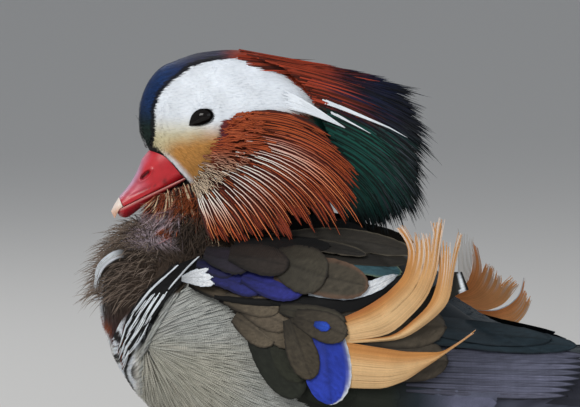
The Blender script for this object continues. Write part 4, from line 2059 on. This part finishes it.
# %% Feathers by name
SHOWN_FEATHERS = [
    # root y z, tip y z, width, bow, height, rise, colour, rim colour, rim width
    (-38, 92.5, 26, 90.0, 4.6, 0, 4.9, 0.6, "6d6e82", "262832", 0.7),
    (-38, 94.8, 28, 92.2, 4.6, 0, 5.0, 0.6, "72748a", "262832", 0.7),
    (-38, 97.0, 30, 94.5, 4.6, 0, 5.1, 0.6, "696b7f", "262832", 0.7),
    (-38, 99.2, 32, 96.8, 4.6, 0, 5.2, 0.6, "72748a", "262832", 0.7),
    (-38, 101.4, 33, 99.1, 4.6, 0, 5.3, 0.6, "66687b", "262832", 0.7),
    (-38, 103.6, 34, 101.4, 4.6, 0, 5.4, 0.6, "6f7186", "262832", 0.7),
    (-37, 105.8, 34, 103.7, 4.6, 0, 5.5, 0.6, "626477", "262832", 0.7),
    (-36, 108.0, 34, 105.9, 4.6, 0, 5.6, 0.6, "5a5c6e", "2b2d38", 0.45),
    (-40, 115.0, 30, 109.8, 9, 0, 6.5, 0.5, "26363f", "1a252c", 0.4),
    (-46, 122.5, 20, 112.4, 9, -1.5, 7.0, 0.5, "24323a", "1a242b", 0.4),
    (-64, 106, -21.5, 104.0, 18, 0, 6.9, 0.2, "4e463b", "332d26", 0.6),
    (-66, 119, -22.3, 117.5, 18, 0, 7.2, 0.2, "564d40", "3a332a", 0.6),
    (-99, 118, -80, 90, 16, 0, 5.3, 1.0, "2c2f27", "22241e", 0.8),
    (-92, 118, -79, 96, 13, 0, 5.5, 1.0, "34362b", "26271f", 0.7),
    (-86, 120, -72.5, 102.5, 14, 0, 5.6, 1.0, "544a3d", "332c25", 0.5),
    (-71.5, 124, -67.5, 87, 18.5, 0, 8.1, 0.3, "2f46bc", "eef2f8", -1.0),
    (-84, 121, -75.5, 97, 12, 0, 8.6, 0.4, "4f473a", "2f2a23", 0.5),
    (-82, 122, -61.5, 114.5, 12, 0, 8.9, 0.4, "50483c", "2f2a23", 0.5),
    (-74.5, 119.0, -68.3, 117.3, 3.9, 0, 9.5, 0.3, "2f58d0", "2a46b0", 0.4),
    (-88, 125, -62, 120.0, 8, 0, 8.0, 0.6, "4a4539", "2b2721", 0.5),
    (-98, 124, -81, 111, 12, 0, 5.9, 1.0, "6a5f4f", "3f382e", 0.6),
    (-94, 126, -74, 119.5, 10, 0, 6.4, 1.0, "5f5546", "3a332a", 0.6),
    (-106, 122, -90, 111.5, 11, 0, 5.4, 1.0, "6a5f4f", "3c352c", 0.6),
    (-104, 127, -84, 118, 11, 0, 6.1, 1.0, "6e6252", "3f382e", 0.6),
    (-110, 129, -88, 124.5, 9.5, 0, 6.3, 0.8, "6a5f4f", "3a332a", 0.6),
    (-124, 135, -104, 128.5, 6.0, 0, 3.4, 1.6, "5a4f40", "0e0c0a", 1.0),
    (-114, 129.5, -80, 127.5, 3.0, -1.0, 6.8, 0.6, "0c0b0b", "070606", 0.5),
    (-92, 129, -41.0, 137.0, 8.5, -5.8, 7.6, 0.6, "040405", "040405", 0.5),
    (-77, 131.6, -41.8, 138.0, 5.4, -3.4, 8.3, 0.3, "f4f8fd", "dfe8f4", 0.3),
    (-80, 147.0, -39.6, 139.0, 9, 1.0, 6.8, 0.9, "3f636c", "77866a", 0.5),
    (-90, 140.2, -53.0, 133.9, 15.5, 0.6, 8.9, 0.5, "50493d", "6b5444", 1.2),
    (-90, 144.5, -69.5, 137.3, 19, 0, 9.4, 0.4, "484338", "2f2a24", 0.7),
    (-106, 137, -92, 132.5, 7.5, -0.5, 6.9, 0.6, "272a66", "1e2050", 0.8),
    (-103, 138, -78.5, 131.8, 11, -0.8, 8.2, 0.6, "30348a", "1f225c", 1.0),
    (-113, 138.5, -95, 132.5, 9, -0.5, 7.4, 0.5, "2b2f78", "1b1d4c", 0.9),
    (-119, 140, -103, 134.5, 8, 0, 7.2, 0.5, "262866", "1a1b44", 0.9),
    (-121, 143, -106, 139, 7, 0, 7.5, 0.4, "222350", "181832", 0.9),
    (-118, 147, -100, 141.5, 10, 0, 9.0, 0.4, "2a2530", "1c191c", 0.9),
    (-108, 147, -84.5, 142.0, 12, 0, 9.9, 0.4, "332b26", "201b18", 0.9),
    (-127, 136.6, -114.3, 134.8, 3.6, 0, 6.4, 1.2, "f4f8fd", "e6eef8", 0.3),
    (-127, 137.2, -115.0, 137.4, 3.6, 0, 6.6, 1.2, "f4f8fd", "e6eef8", 0.3),
    (-126, 137.5, -116.6, 140.6, 3.0, 0, 6.6, 1.2, "f4f8fd", "e6eef8", 0.3),
    (-98, 151.0, -44, 146.6, 9, 1.2, 6.5, 1.0, "211e1a", "2a2621", 0.4),
    (-98, 148, -37, 143.5, 9, 2.0, 7.0, 1.0, "2a2722", "3c382f", 0.4),
    (-98, 151, -34.2, 147.2, 9, 3.4, 7.5, 1.0, "35312b", "615a4c", 0.4),
    (-96, 150.0, -53.5, 146.2, 5.0, 2.0, 8.6, 0.6, "2b2824", "544d41", 0.35),
    (-106, 151.5, -68, 149.5, 6, 0.5, 8.8, 0.6, "060606", "050505", 0.5),
    (-108, 159, -52, 153.5, 11, 1.0, 2.0, 0.5, "0b0a09", "080706", 0.4),
]


print("feathers in the table:", len(SHOWN_FEATHERS))

# %% Laying the named feathers
HIND_ROWS = 10
HIND_DROP = 4.5
FRAY = [0.2, 1, 1]


def off_bed(yz, height):
    """Left side points that show at y and z in side view, a height out from the bed: the sideways
    step is the height over the normal's share of x, and where the bed ends above, a plane that
    leans inwards takes its place. Three rounds allow for the slant of the view."""
    y, seen = yz[..., 0], yz[..., 1]
    z = seen
    for _ in range(3):
        bed = side_at(WING_BED, y, z)
        n = outward(WING_BED, np.stack([bed, y, z], -1))
        step = height / np.where(n[..., 2] < 0, 1.0, np.clip(n[..., 0], 0.55, 1))
        x = np.maximum(bed + step, 27 - 0.7 * np.maximum(z - 142, 0) + height)
        z = seen + LOOK_DOWN * (x - LOOK_AT[0])
    return np.stack([x, y, z], -1)


def rim_paint(rows, u, c, width, length):
    """Tint of feathers whose rim has a colour of its own: the distance of a point from the edge is
    the smaller of that to the side and that to the tip; a width below zero means the rear side
    alone. A darker shaft runs down the middle."""
    half = (width / 2)[:, None, None] * vane_shape(u)[None, :, None]
    side = half * (1 - np.abs(c))
    tip = (length[:, None] * (1 - u))[:, :, None] + 0 * side
    edge = np.where(rows["rim"] < 0, half * (1 - c), np.minimum(side, tip))
    wide = np.abs(rows["rim"])
    rim = smooth(wide * 1.5, wide * 0.6, edge)
    shaft = np.exp(-((c / 0.08) ** 2)) * 0.3
    vane_tint = rows["colour"][:, None, None] * (1 - shaft)[None, None, :, None]
    tint = mix(vane_tint, rows["edge"][:, None, None], rim)
    return tint * (1 - 0.6 * (1 - u) ** 1.5)[None, :, None, None]


def shown_feathers(side):
    """The feathers that can be told apart, laid from the table in its order; on the right the
    rear rows lie lower, out of sight behind the back."""
    numbers = np.array([row[:8] for row in SHOWN_FEATHERS], float)
    if side < 0:
        numbers[:HIND_ROWS, [1, 3]] -= HIND_DROP
    codes = [[rgb(row[k]) for row in SHOWN_FEATHERS] for k in (8, 9)]
    rim = np.array([row[10] for row in SHOWN_FEATHERS])[:, None, None]
    rows = {"colour": np.array(codes[0]), "edge": np.array(codes[1]), "rim": rim}
    width = numbers[:, 4]
    u, c = stations_of(26, 1.5), np.linspace(-1, 1, 15)
    roots, run = numbers[:, :2], numbers[:, 2:4] - numbers[:, :2]
    ahead = unit(run)
    across = np.stack([-ahead[:, 1], ahead[:, 0]], 1)[:, None, None]
    out = (width[:, None] / 2 * vane_shape(u))[:, :, None] * c
    out = out + (numbers[:, 5:6] * np.sin(np.pi * u))[:, :, None]
    yz = roots[:, None, None] + run[:, None, None] * u[:, None, None] + across * out[..., None]
    height = (numbers[:, 6:7] + numbers[:, 7:8] * u)[:, :, None] + 0.25 * (1 - c**2)
    grid = off_bed(yz, height)
    real = np.linalg.norm(run, axis=1)
    rng = default_rng(55)
    grid[:, :, [0, -1]] += rng.normal(0, 0.1, (*grid.shape[:2], 2, 3)) * FRAY
    grid[:, -1] += rng.normal(0, 0.3, (len(grid), grid.shape[2], 3)) * FRAY
    tint = rim_paint(rows, u, c, width, real)
    tint = tint * (1 + 0.13 * rng.normal(0, 1, (*tint.shape[:3], 1)))
    grid, tint = to_side(side, grid, tint)
    return feathers(WING_BED, grid, u, c, np.clip(tint, 0, 1), width, real)


for side, name in SIDES:
    wing_core(side, name)
    layers = primaries(side) + wing_feathers(side) + [shown_feathers(side)]
    wing = make_coat("wing_coat_" + name, layers, vane)
    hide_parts("wing_" + name)

# %% [markdown]
# ## The sails
# One inner flight feather on each wing has a huge upturned web, the sail. Its barbs are long and
# part near the tip, so it frays into strands. A lobe of it is drawn in side view by its two edges,
# and fine strips run between them, each ending a little before or past its neighbour. The left
# sail is the near one; the right one, further back, has another set of its feathers to the wind.

# %% Lobes of the sails
SAIL_LOBES = {
    # strips, how far out, kind, upper edge, lower edge
    "left": [
        (60, -4.0, "blade",
         [(-50, 121), (-38, 127), (-27, 133.5), (-19.3, 139.2), (-15.8, 139.3)],
         [(-48, 114), (-34, 120), (-24, 126), (-17.5, 130.7), (-13.2, 132.6)]),
        (170, 1.2, "fan",
         [(-66, 120), (-54, 125.5), (-44, 132.5), (-38.5, 139.5), (-37.0, 148), (-42.5, 161)],
         [(-65, 112), (-47, 114.5), (-36.5, 122), (-29, 131.5), (-25.0, 145), (-24, 165)]),
        (90, 0.0, "fan",
         [(-64, 112.6), (-46, 113.8), (-35, 120.5), (-27.5, 129.5), (-25, 142), (-28, 164)],
         [(-63, 111.3), (-43, 112.5), (-30, 119), (-21.0, 129), (-18.8, 141), (-15.5, 158)]),
        (110, 1.6, "plain",
         [(-66, 112.2), (-48, 109.3), (-36, 107.7), (-26, 107.6), (-18, 111.3), (-10, 117)],
         [(-67, 94), (-50, 93.5), (-40, 96), (-31, 101.5), (-22, 107.6), (-10.3, 116)]),
    ],
    "right": [
        (11, 0.6, "pale",
         [(-22, 130), (-17, 133), (-15.5, 141), (-15.5, 150), (-16.5, 162)],
         [(-20, 128), (-12, 132), (-10, 140), (-9.5, 148), (-9.0, 157)]),
        (150, 0.0, "tall",
         [(-21.5, 129.5), (-16, 130.8), (-11.5, 134.5), (-9.5, 141), (-8.5, 153)],
         [(-21, 128), (-13, 124.6), (-5, 123.0), (2, 125.0), (6.5, 130), (8.5, 137)]),
        (110, 1.2, "far",
         [(-18, 126.5), (-10, 123.4), (-2, 122.8), (4, 124.5), (9.5, 129.5), (12, 137)],
         [(-18, 125), (-10, 119.0), (-2, 116.4), (6, 116.4), (11.5, 120.5), (15, 129)]),
    ],
}
# kind: tufts at its end, and how far they part
SAIL_KINDS = {
    "fan": (4, 0.8), "tall": (4, 0.9), "far": (4, 0.6), "pale": (11, 1.0), "plain": (4, 0.35),
    "blade": (1, 0.0),
}
SAIL_DEEP, SAIL_TIP, SAIL_PALEST = rgb("b06a32"), rgb("f1e6da"), rgb("ecdfcd")
FAR_SAIL, FAR_SAIL_PALE = rgb("ee843c"), rgb("ffbe80")
BLADE_DARK = rgb("33332e")
SAIL_STEPS = 22
EDGE_POINTS = 60
SAIL_OUT = 57.0
SAIL_LEAN = 0.28
SAIL_FOOT = 112.0
SAIL_CLEAR = 8.0


def sail_strips(side, count, over, kind, one, two, seed):
    """Strips between two edges. Strip s keeps its share of the way across; it ends at a place of
    its own, and its last quarter strays from the flow. Roots lie low on the bed, under the
    coverts. The height allows for the slant of the view."""
    rng = default_rng(seed)
    u = np.linspace(0, 1, SAIL_STEPS)
    s = (np.arange(count) + 0.5) / count
    tufts, loose = SAIL_KINDS[kind]
    tuft = (np.floor(s * tufts + rng.normal(0, 0.12, count)) + 0.5) / tufts
    end = 1 - loose * (rng.uniform(0, 0.13, count) + 0.12 * np.abs(np.sin(tuft * 22)))
    fine = [np.array(more_stops(edge, EDGE_POINTS)) for edge in (one, two)]
    place = (end[:, None] * u) * (EDGE_POINTS - 1)
    k = np.minimum(place.astype(int), EDGE_POINTS - 2)
    f = (place - k)[..., None]
    edges = [points[k] * (1 - f) + points[k + 1] * f for points in fine]
    stray = smooth(0.7, 1.0, end[:, None] * u)
    splay = (0.1 * np.sin(tuft * 37) + 0.25 * (s - 0.5))[:, None] * stray**2
    across = s[:, None] + loose * (0.5 * (tuft - s)[:, None] * stray + splay)
    yz = edges[0] + (edges[1] - edges[0]) * across[..., None]
    gap = np.linalg.norm(edges[1] - edges[0], axis=-1) / count
    ahead = unit(np.gradient(yz, axis=1))
    out = np.stack([ahead[..., 1], -ahead[..., 0]], -1)
    half = (gap * 0.9 + 0.12) * (1 - 0.7 * loose * u**4)
    if kind == "pale":
        half = half * 0.25
    c = np.array([-1.0, 1.0])
    yz = yz[:, :, None] + out[:, :, None] * (half[..., None] * c)[..., None]
    lean = SAIL_LEAN * np.maximum(yz[..., 1] - SAIL_FOOT, 0)
    bed = side_at(WING_BED, yz[..., 0], yz[..., 1])
    x = np.maximum(SAIL_OUT - lean, bed + SAIL_CLEAR)
    x = x + over + 1.2 * (1 - (2 * s - 1) ** 2)[:, None, None]
    if side > 0 and kind != "blade":
        out_now = smooth(0.0, 0.35, u)[None, :, None]
        x = x * out_now + (bed + 7.3 + 0.1 * over) * (1 - out_now)
    yz[..., 1] += LOOK_DOWN * (side * x - LOOK_AT[0])
    x = x + rng.uniform(-0.15, 0.15, count)[:, None, None]
    return np.stack([x, yz[..., 0], yz[..., 1]], -1), u, c, s


print("lobes:", {name: len(lobes) for name, lobes in SAIL_LOBES.items()})


# %% Sails
def sail_feathers(side, name):
    """All lobes of a sail, orange deep along the upper edge of its base, paler inside, and nearly
    white at some tips."""
    rng = default_rng(71)
    batches = []
    for number, (count, over, kind, one, two) in enumerate(SAIL_LOBES[name]):
        grid, u, c, s = sail_strips(side, count, over, kind, one, two, 72 + number)
        ss, uu = s[:, None, None], u[None, :, None]
        tint = mix(SAIL + 0 * grid, SAIL_PALE, smooth(0.1, 0.55, ss) * smooth(1.2, 0.3, uu))
        deep = smooth(0.28, 0.0, ss) * smooth(0.7, 0.25, uu) * (0.3 if kind == "plain" else 1)
        tint = mix(tint, SAIL_DEEP, deep + 0 * grid[..., 0])
        if side < 0:
            share = 0.5 * ss + 0.5 * uu + 0 * grid[..., 0]
            tint = mix(FAR_SAIL + 0 * grid, FAR_SAIL_PALE, share)
        tips = smooth(0.72, 1.0, uu) * (np.sin(s * 40) > 0.2)[:, None, None]
        tint = mix(tint, SAIL_TIP, tips * 0.7 + 0 * grid[..., 0])
        shaft = (s < 0.02) | ((s > 0.87) & (s < 0.89))
        if kind == "far":
            tint = np.where(shaft[:, None, None, None], WHITE, tint)
        if kind == "pale":
            tint = SAIL_PALEST + 0 * grid
        if kind == "blade":
            white = (uu > 0.86 - 0.06 * ss) & (uu < 0.93)
            tint = np.where((uu > 0.93)[..., None], BLACK, BLADE_DARK + 0 * grid)
            tint = np.where(white[..., None], WHITE, tint)
        tint = shuffled(rng, tint, 0.09, 0.02)
        grid, tint = to_side(side, grid, tint)
        batches.append(feathers(WING_BED, grid, u, c, tint, 1.0, 60))
    return batches


silky = plumage("sail_web", roughness=0.5, sheen=0.2, barb=0.15, streak=0.2)
for side, name in SIDES:
    sail = make_coat("sail_coat_" + name, sail_feathers(side, name), silky)
    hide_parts("sail_" + name)

# %% [markdown]
# ## Tail
# The tail is short and dark: twelve stiff feathers in a low fan, covered above and below by rows
# of softer ones.

# %% Tail
GOLDEN_ANGLE = 2.399963
TAIL_BROWN, TAIL_EDGE = rgb("3d3832"), rgb("2a2d2b")
TAIL_COVERTS = (
    # over the tail, height at the front and at the rear, colour, feathers
    (True, 94.0, 90.0, "4a4136", 90),
    (False, 75.5, 81.0, "e4e1d8", 110),
)
RECTRIX = {"y": 68.0, "z": 87.6, "pairs": 6, "drop": 1.1, "spread": 1.5, "fan": 1.9, "wide": 7.2}


def straight_feathers(roots, headings, length, width, arch, steps=10):
    """Vanes along straight paths: across is horizontal, and the middle stands arch above the
    edges."""
    u, c = stations_of(steps), np.linspace(-1, 1, 5)
    ahead = unit(headings)
    across = unit(np.cross(ahead, np.array([0.0, 0.0, 1.0])))
    over = np.cross(across, ahead)
    path = roots[:, None] + ahead[:, None] * (length[:, None] * u)[..., None]
    place = widened(path, across[:, None], width, vane_shape(u, 0.75), c)
    return place + over[:, None, None] * (arch * (1 - c**2))[:, None], u, c


def tail_feathers():
    """Tail quills in pairs from the outermost and lowest to the middle pair on top, then coverts
    over and under them."""
    rng = default_rng(61)
    batches = []
    i = np.repeat(np.arange(RECTRIX["pairs"])[::-1], 2)
    sign = np.tile([1.0, -1.0], RECTRIX["pairs"])
    turn = np.radians(RECTRIX["spread"] + RECTRIX["fan"] * i) * sign
    height = RECTRIX["z"] - RECTRIX["drop"] * i
    roots = np.stack([sign * (0.6 + 1.3 * i), RECTRIX["y"] + 0.0 * i, height], 1)
    headings = np.stack([np.sin(turn), np.cos(turn), -0.02 + 0 * turn], 1)
    length = 92.5 - 1.1 * i**2 * 0.8
    width = 2 * RECTRIX["wide"] + 0 * turn
    grid, u, c = straight_feathers(roots, headings, length, width, 1.6)
    tint = mix(TAIL_BROWN + 0 * grid, TAIL_EDGE, np.abs(c)[None, None, :] ** 2)
    batches.append(feathers(TORSO, grid, u, c, shuffled(rng, tint, 0.1), width, length))
    for top, z0, z1, colour, count in TAIL_COVERTS:
        t = (np.arange(count) + 0.5) / count
        y = 60 + (52 if top else 66) * t
        half = 15.5 - 3.0 * t
        x = half * np.sin(np.arange(count) * GOLDEN_ANGLE) * 0.95
        fall = (x / 17) ** 2 * (5.5 - 2.5 * t)
        z = z0 + (z1 - z0) * t + (-fall if top else fall)
        roots = np.stack([x, y, z + (-0.8 if top else 0.8)], 1)
        headings = np.stack([x * 0.012, 1 + 0 * x, (0.03 if top else 0.02) + 0 * x], 1)
        length = rng.uniform(20, 27, count)
        arch = 1.2 if top else -1.2
        grid, u, c = straight_feathers(roots, headings, length, 10 + 0 * length, arch, steps=6)
        tint = rgb(colour) * (1 - 0.3 * (1 - u) ** 2)[None, :, None, None] + 0 * grid
        tint = shuffled(rng, tint, 0.12)
        if not top:
            grid, tint = grid[:, :, ::-1], tint[:, :, ::-1]
        batches.append(feathers(TORSO, grid, u, c, tint, 10, length))
    return batches


tail = make_coat("tail_coat", tail_feathers(), vane)
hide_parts("tail")

# %% [markdown]
# ## Legs
# The shanks and webbed feet are bare orange skin: overlapping scutes down the front of shank and
# toes, a fine net of scales elsewhere, and thin webs between the three front toes.

# %% Skin of the legs
SCALE_LIGHT, SCALE_DARK, SCALE_EDGE = rgb("dda24e"), rgb("b9803a"), rgb("7d5324")
CLAW, WEB = rgb("4a3a2c"), rgb("8d7a66") * 1.6
SCALES_PER_METRE = 900.0


def skin_scales():
    """Orange skin with a net of scales from Voronoi cell borders, dark between them."""
    f = Finish("scaly_skin")
    place = f.objects()
    cells = f.add("ShaderNodeTexVoronoi", feature="DISTANCE_TO_EDGE")
    cells.inputs["Scale"].default_value = SCALES_PER_METRE
    f.put(place, cells.inputs["Vector"])
    flat = f.ramp(cells.outputs["Distance"], 0.0, 0.16)
    colour = f.blend("MIX", f.noise(place, 90.0), SCALE_DARK, SCALE_LIGHT)
    colour = f.blend("MIX", flat, SCALE_EDGE, colour)
    colour = f.blend("MULTIPLY", 1.0, colour, f.tint())
    return f.done(colour, {"Roughness": 0.45}, flat, 0.5, 0.0002)


scales = skin_scales()
print("finish of the legs:", scales.name)

# %% Forms of the feet
# stops: x, y, z, half width, half depth
SHANK = [
    (STANCE, -23, 44, 3.4, 4.2), (STANCE, -25, 39, 3.9, 5), (STANCE, -28, 33, 3, 4),
    (STANCE, -32.5, 22, 2.5, 3.5), (STANCE, -37, 11, 2.8, 3.7), (STANCE, -39.5, 5, 3.2, 3.6),
]
# angle outwards in degrees, length
TOES = [(-22, 41), (4, 53), (30, 49)]
TOE_PLAN = [
    # part of the length, half width, half depth: knuckles, the spans between them, and the claw
    (0, 3.2, 3.3), (0.1, 2.9, 3.1), (0.22, 2.5, 2.8), (0.36, 2.8, 2.9), (0.5, 2.1, 2.4),
    (0.62, 2.4, 2.5), (0.74, 1.8, 2.0), (0.84, 1.8, 1.9), (0.88, 1.1, 1.3), (0.94, 0.9, 1.0),
    (1, 0.3, 0.35),
]
PAD = [
    (STANCE, -30, 5, 2.4, 2.8), (STANCE, -36, 3.7, 4.2, 4.4), (STANCE, -42, 3.2, 4.6, 4.2),
    (STANCE, -48, 2.3, 3.8, 3),
]
HIND_TOE = [
    (STANCE - 1, -35, 6.5, 1.9, 2.1), (STANCE - 2.5, -29, 5, 1.6, 1.8),
    (STANCE - 4, -24.5, 3.4, 1.2, 1.4), (STANCE - 4.6, -21, 1.9, 0.35, 0.45),
]
BALL_Y = -40.0
FOOT_ROWS = 100
FOOT_TURNS = 24
SOLE = 0.12


def toe_at(toe, part, z):
    """Point on a toe's middle line, its angle counted outwards from straight ahead."""
    a, length = math.radians(toe[0]), toe[1]
    return (STANCE + math.sin(a) * length * part, BALL_Y - math.cos(a) * length * part, z)


def ringed(stops, side, scutes):
    """A limb as a closed grid, its upper half raised into scutes: each is a ramp that ends in a
    step."""
    rings, _ = limb_rings(more_stops(stops, FOOT_ROWS - 2), FOOT_TURNS, side)
    middle = rings.mean(1, keepdims=True)
    ramp_now = np.linspace(0, scutes, len(rings)) % 1.0
    upper = smooth(0.0, 0.5, unit(rings - middle)[..., 2])
    rings = rings + (rings - middle) * (0.09 * ramp_now[:, None] * upper)[..., None]
    rings = capped(rings)
    return np.concatenate([rings, rings[:, :1]], 1)


def web_sheet(inner, outer):
    """A web as a flat loop from toe to toe over its upper face and back under it; its front edge
    is notched, and it thins towards that edge."""
    u = np.linspace(0, 1, FOOT_ROWS)[:, None]
    turn = np.linspace(0, 2, FOOT_TURNS + 1)[None, :]
    v = np.where(turn <= 1, turn, 2 - turn)
    reached = (0.08 + 0.92 * u) * 0.84 * (1 - 0.2 * np.sin(np.pi * v))
    ends = []
    for angle, length in (inner, outer):
        a = math.radians(angle)
        x = STANCE + math.sin(a) * length * reached
        ends.append(np.stack([x, BALL_Y - math.cos(a) * length * reached], -1))
    xy = ends[0] + (ends[1] - ends[0]) * v[..., None]
    thick = np.where((turn > 0) & (turn < 1), 1.0, 0.0) * (0.75 - 0.4 * u)
    fold = 0.12 * np.sin(v * 26) * np.sin(np.pi * v) * (turn < 1)
    return np.concatenate([xy, (0.45 + thick + fold + 0 * u)[..., None]], -1)


def foot_grids():
    """Toes, hind toe, ball and webs of the left foot, and their tints: claws and webs darker."""
    grids = [ringed(PAD, (1.0, 0.0, 0.0), 7), ringed(HIND_TOE, (1.0, 0.0, 0.0), 8)]
    tints = [1.0 + 0 * grids[0], 1.0 + 0 * grids[1]]
    for toe in TOES:
        a = math.radians(toe[0])
        stops = [(*toe_at(toe, part, deep * 0.78), wide, deep) for part, wide, deep in TOE_PLAN]
        grid = ringed(stops, (math.cos(a), math.sin(a), 0.0), 30)
        part = np.linspace(0, 1, FOOT_ROWS)[:, None, None]
        grids.append(grid)
        tints.append(mix(1.0 + 0 * grid, CLAW, smooth(0.87, 0.89, part[..., 0])))
    for inner, outer in zip(TOES, TOES[1:]):
        grids.append(web_sheet(inner, outer))
        tints.append(WEB + 0 * grids[-1])
    grid = np.stack(grids)
    grid[..., 2] = np.maximum(grid[..., 2], SOLE)
    return grid, np.stack(tints)


foot, foot_tint = foot_grids()
print("limbs of a foot:", len(foot))

# %% Legs and feet
for side, name in SIDES:
    stops = [(side * x, *rest) for x, *rest in SHANK]
    wrapped = capped(limb_rings(more_stops(stops, 60), 28)[0])
    plain = np.ones((wrapped.shape[0] * wrapped.shape[1], 3))
    shank = grid_piece("shank_" + name, wrapped, scales, plain, wrap=True)
    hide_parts("tarsus_" + name)
    grid, tint = to_side(side, foot, foot_tint)
    faces = grid_faces(*grid.shape[:3])
    points, tint = grid.reshape(-1, 3), tint.reshape(-1, 3)
    webbed = make_piece("webbed_foot_" + name, points, faces, scales, tint)
    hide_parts("foot_" + name)

# %% [markdown]
# ## Floor and light
# A wide pale floor fills the view behind the bird, since the camera looks a little down. A large
# soft light stands high on the camera's side, a weaker one beside it and a third one behind, and a
# pale sky fills in.

# %% Stage
LIGHTS = (
    # name, place, size, power, colour
    ("key", (1.5, -1.3, 1.7), 1.1, 36.0, (1.0, 0.98, 0.95)),
    ("fill", (1.6, 1.5, 0.9), 1.6, 9.0, (0.94, 0.97, 1.0)),
    ("rim", (-1.5, -0.9, 1.6), 1.0, 14.0, (1.0, 1.0, 1.0)),
)
LIT_PLACE = np.array([0.0, -0.06, 0.13])
FLOOR_GREY = (0.62, 0.61, 0.59)
SKY = (0.9, 0.94, 1.0, 1.0)
SKY_STRENGTH = 0.38


def make_stage():
    """A pale floor, three area lights and a plain world."""
    bpy.ops.mesh.primitive_plane_add(size=60.0, location=(0, 0, 0))
    floor = bpy.context.object
    floor.name = "floor"
    grey = Finish("pale_floor").done(FLOOR_GREY, {"Roughness": 0.9})
    floor.data.materials.append(grey)
    for name, place, size, power, colour in LIGHTS:
        data = bpy.data.lights.new(name, "AREA")
        data.size, data.energy, data.color = size, power, colour
        light = bpy.data.objects.new(name, data)
        light.location = place
        aim = LIT_PLACE - np.array(place)
        tilt = math.atan2(math.hypot(aim[0], aim[1]), -aim[2])
        light.rotation_euler = (tilt, 0, math.atan2(aim[1], aim[0]) - math.pi / 2)
        bpy.context.scene.collection.objects.link(light)
    world = bpy.data.worlds.new("pale_sky")
    bpy.context.scene.world = world
    world.use_nodes = True
    sky = world.node_tree.nodes["Background"]
    sky.inputs["Color"].default_value = SKY
    sky.inputs["Strength"].default_value = SKY_STRENGTH
    bpy.context.scene.view_settings.view_transform = "Standard"


make_stage()
print("lights:", ", ".join(row[0] for row in LIGHTS))

# %% [markdown]
# ## Sizes
# The boxes of the solids and of the dressed model go into a small file, in metres.

# %% Sizes and finish
print("triangles made:", sum(made_triangles.values()))
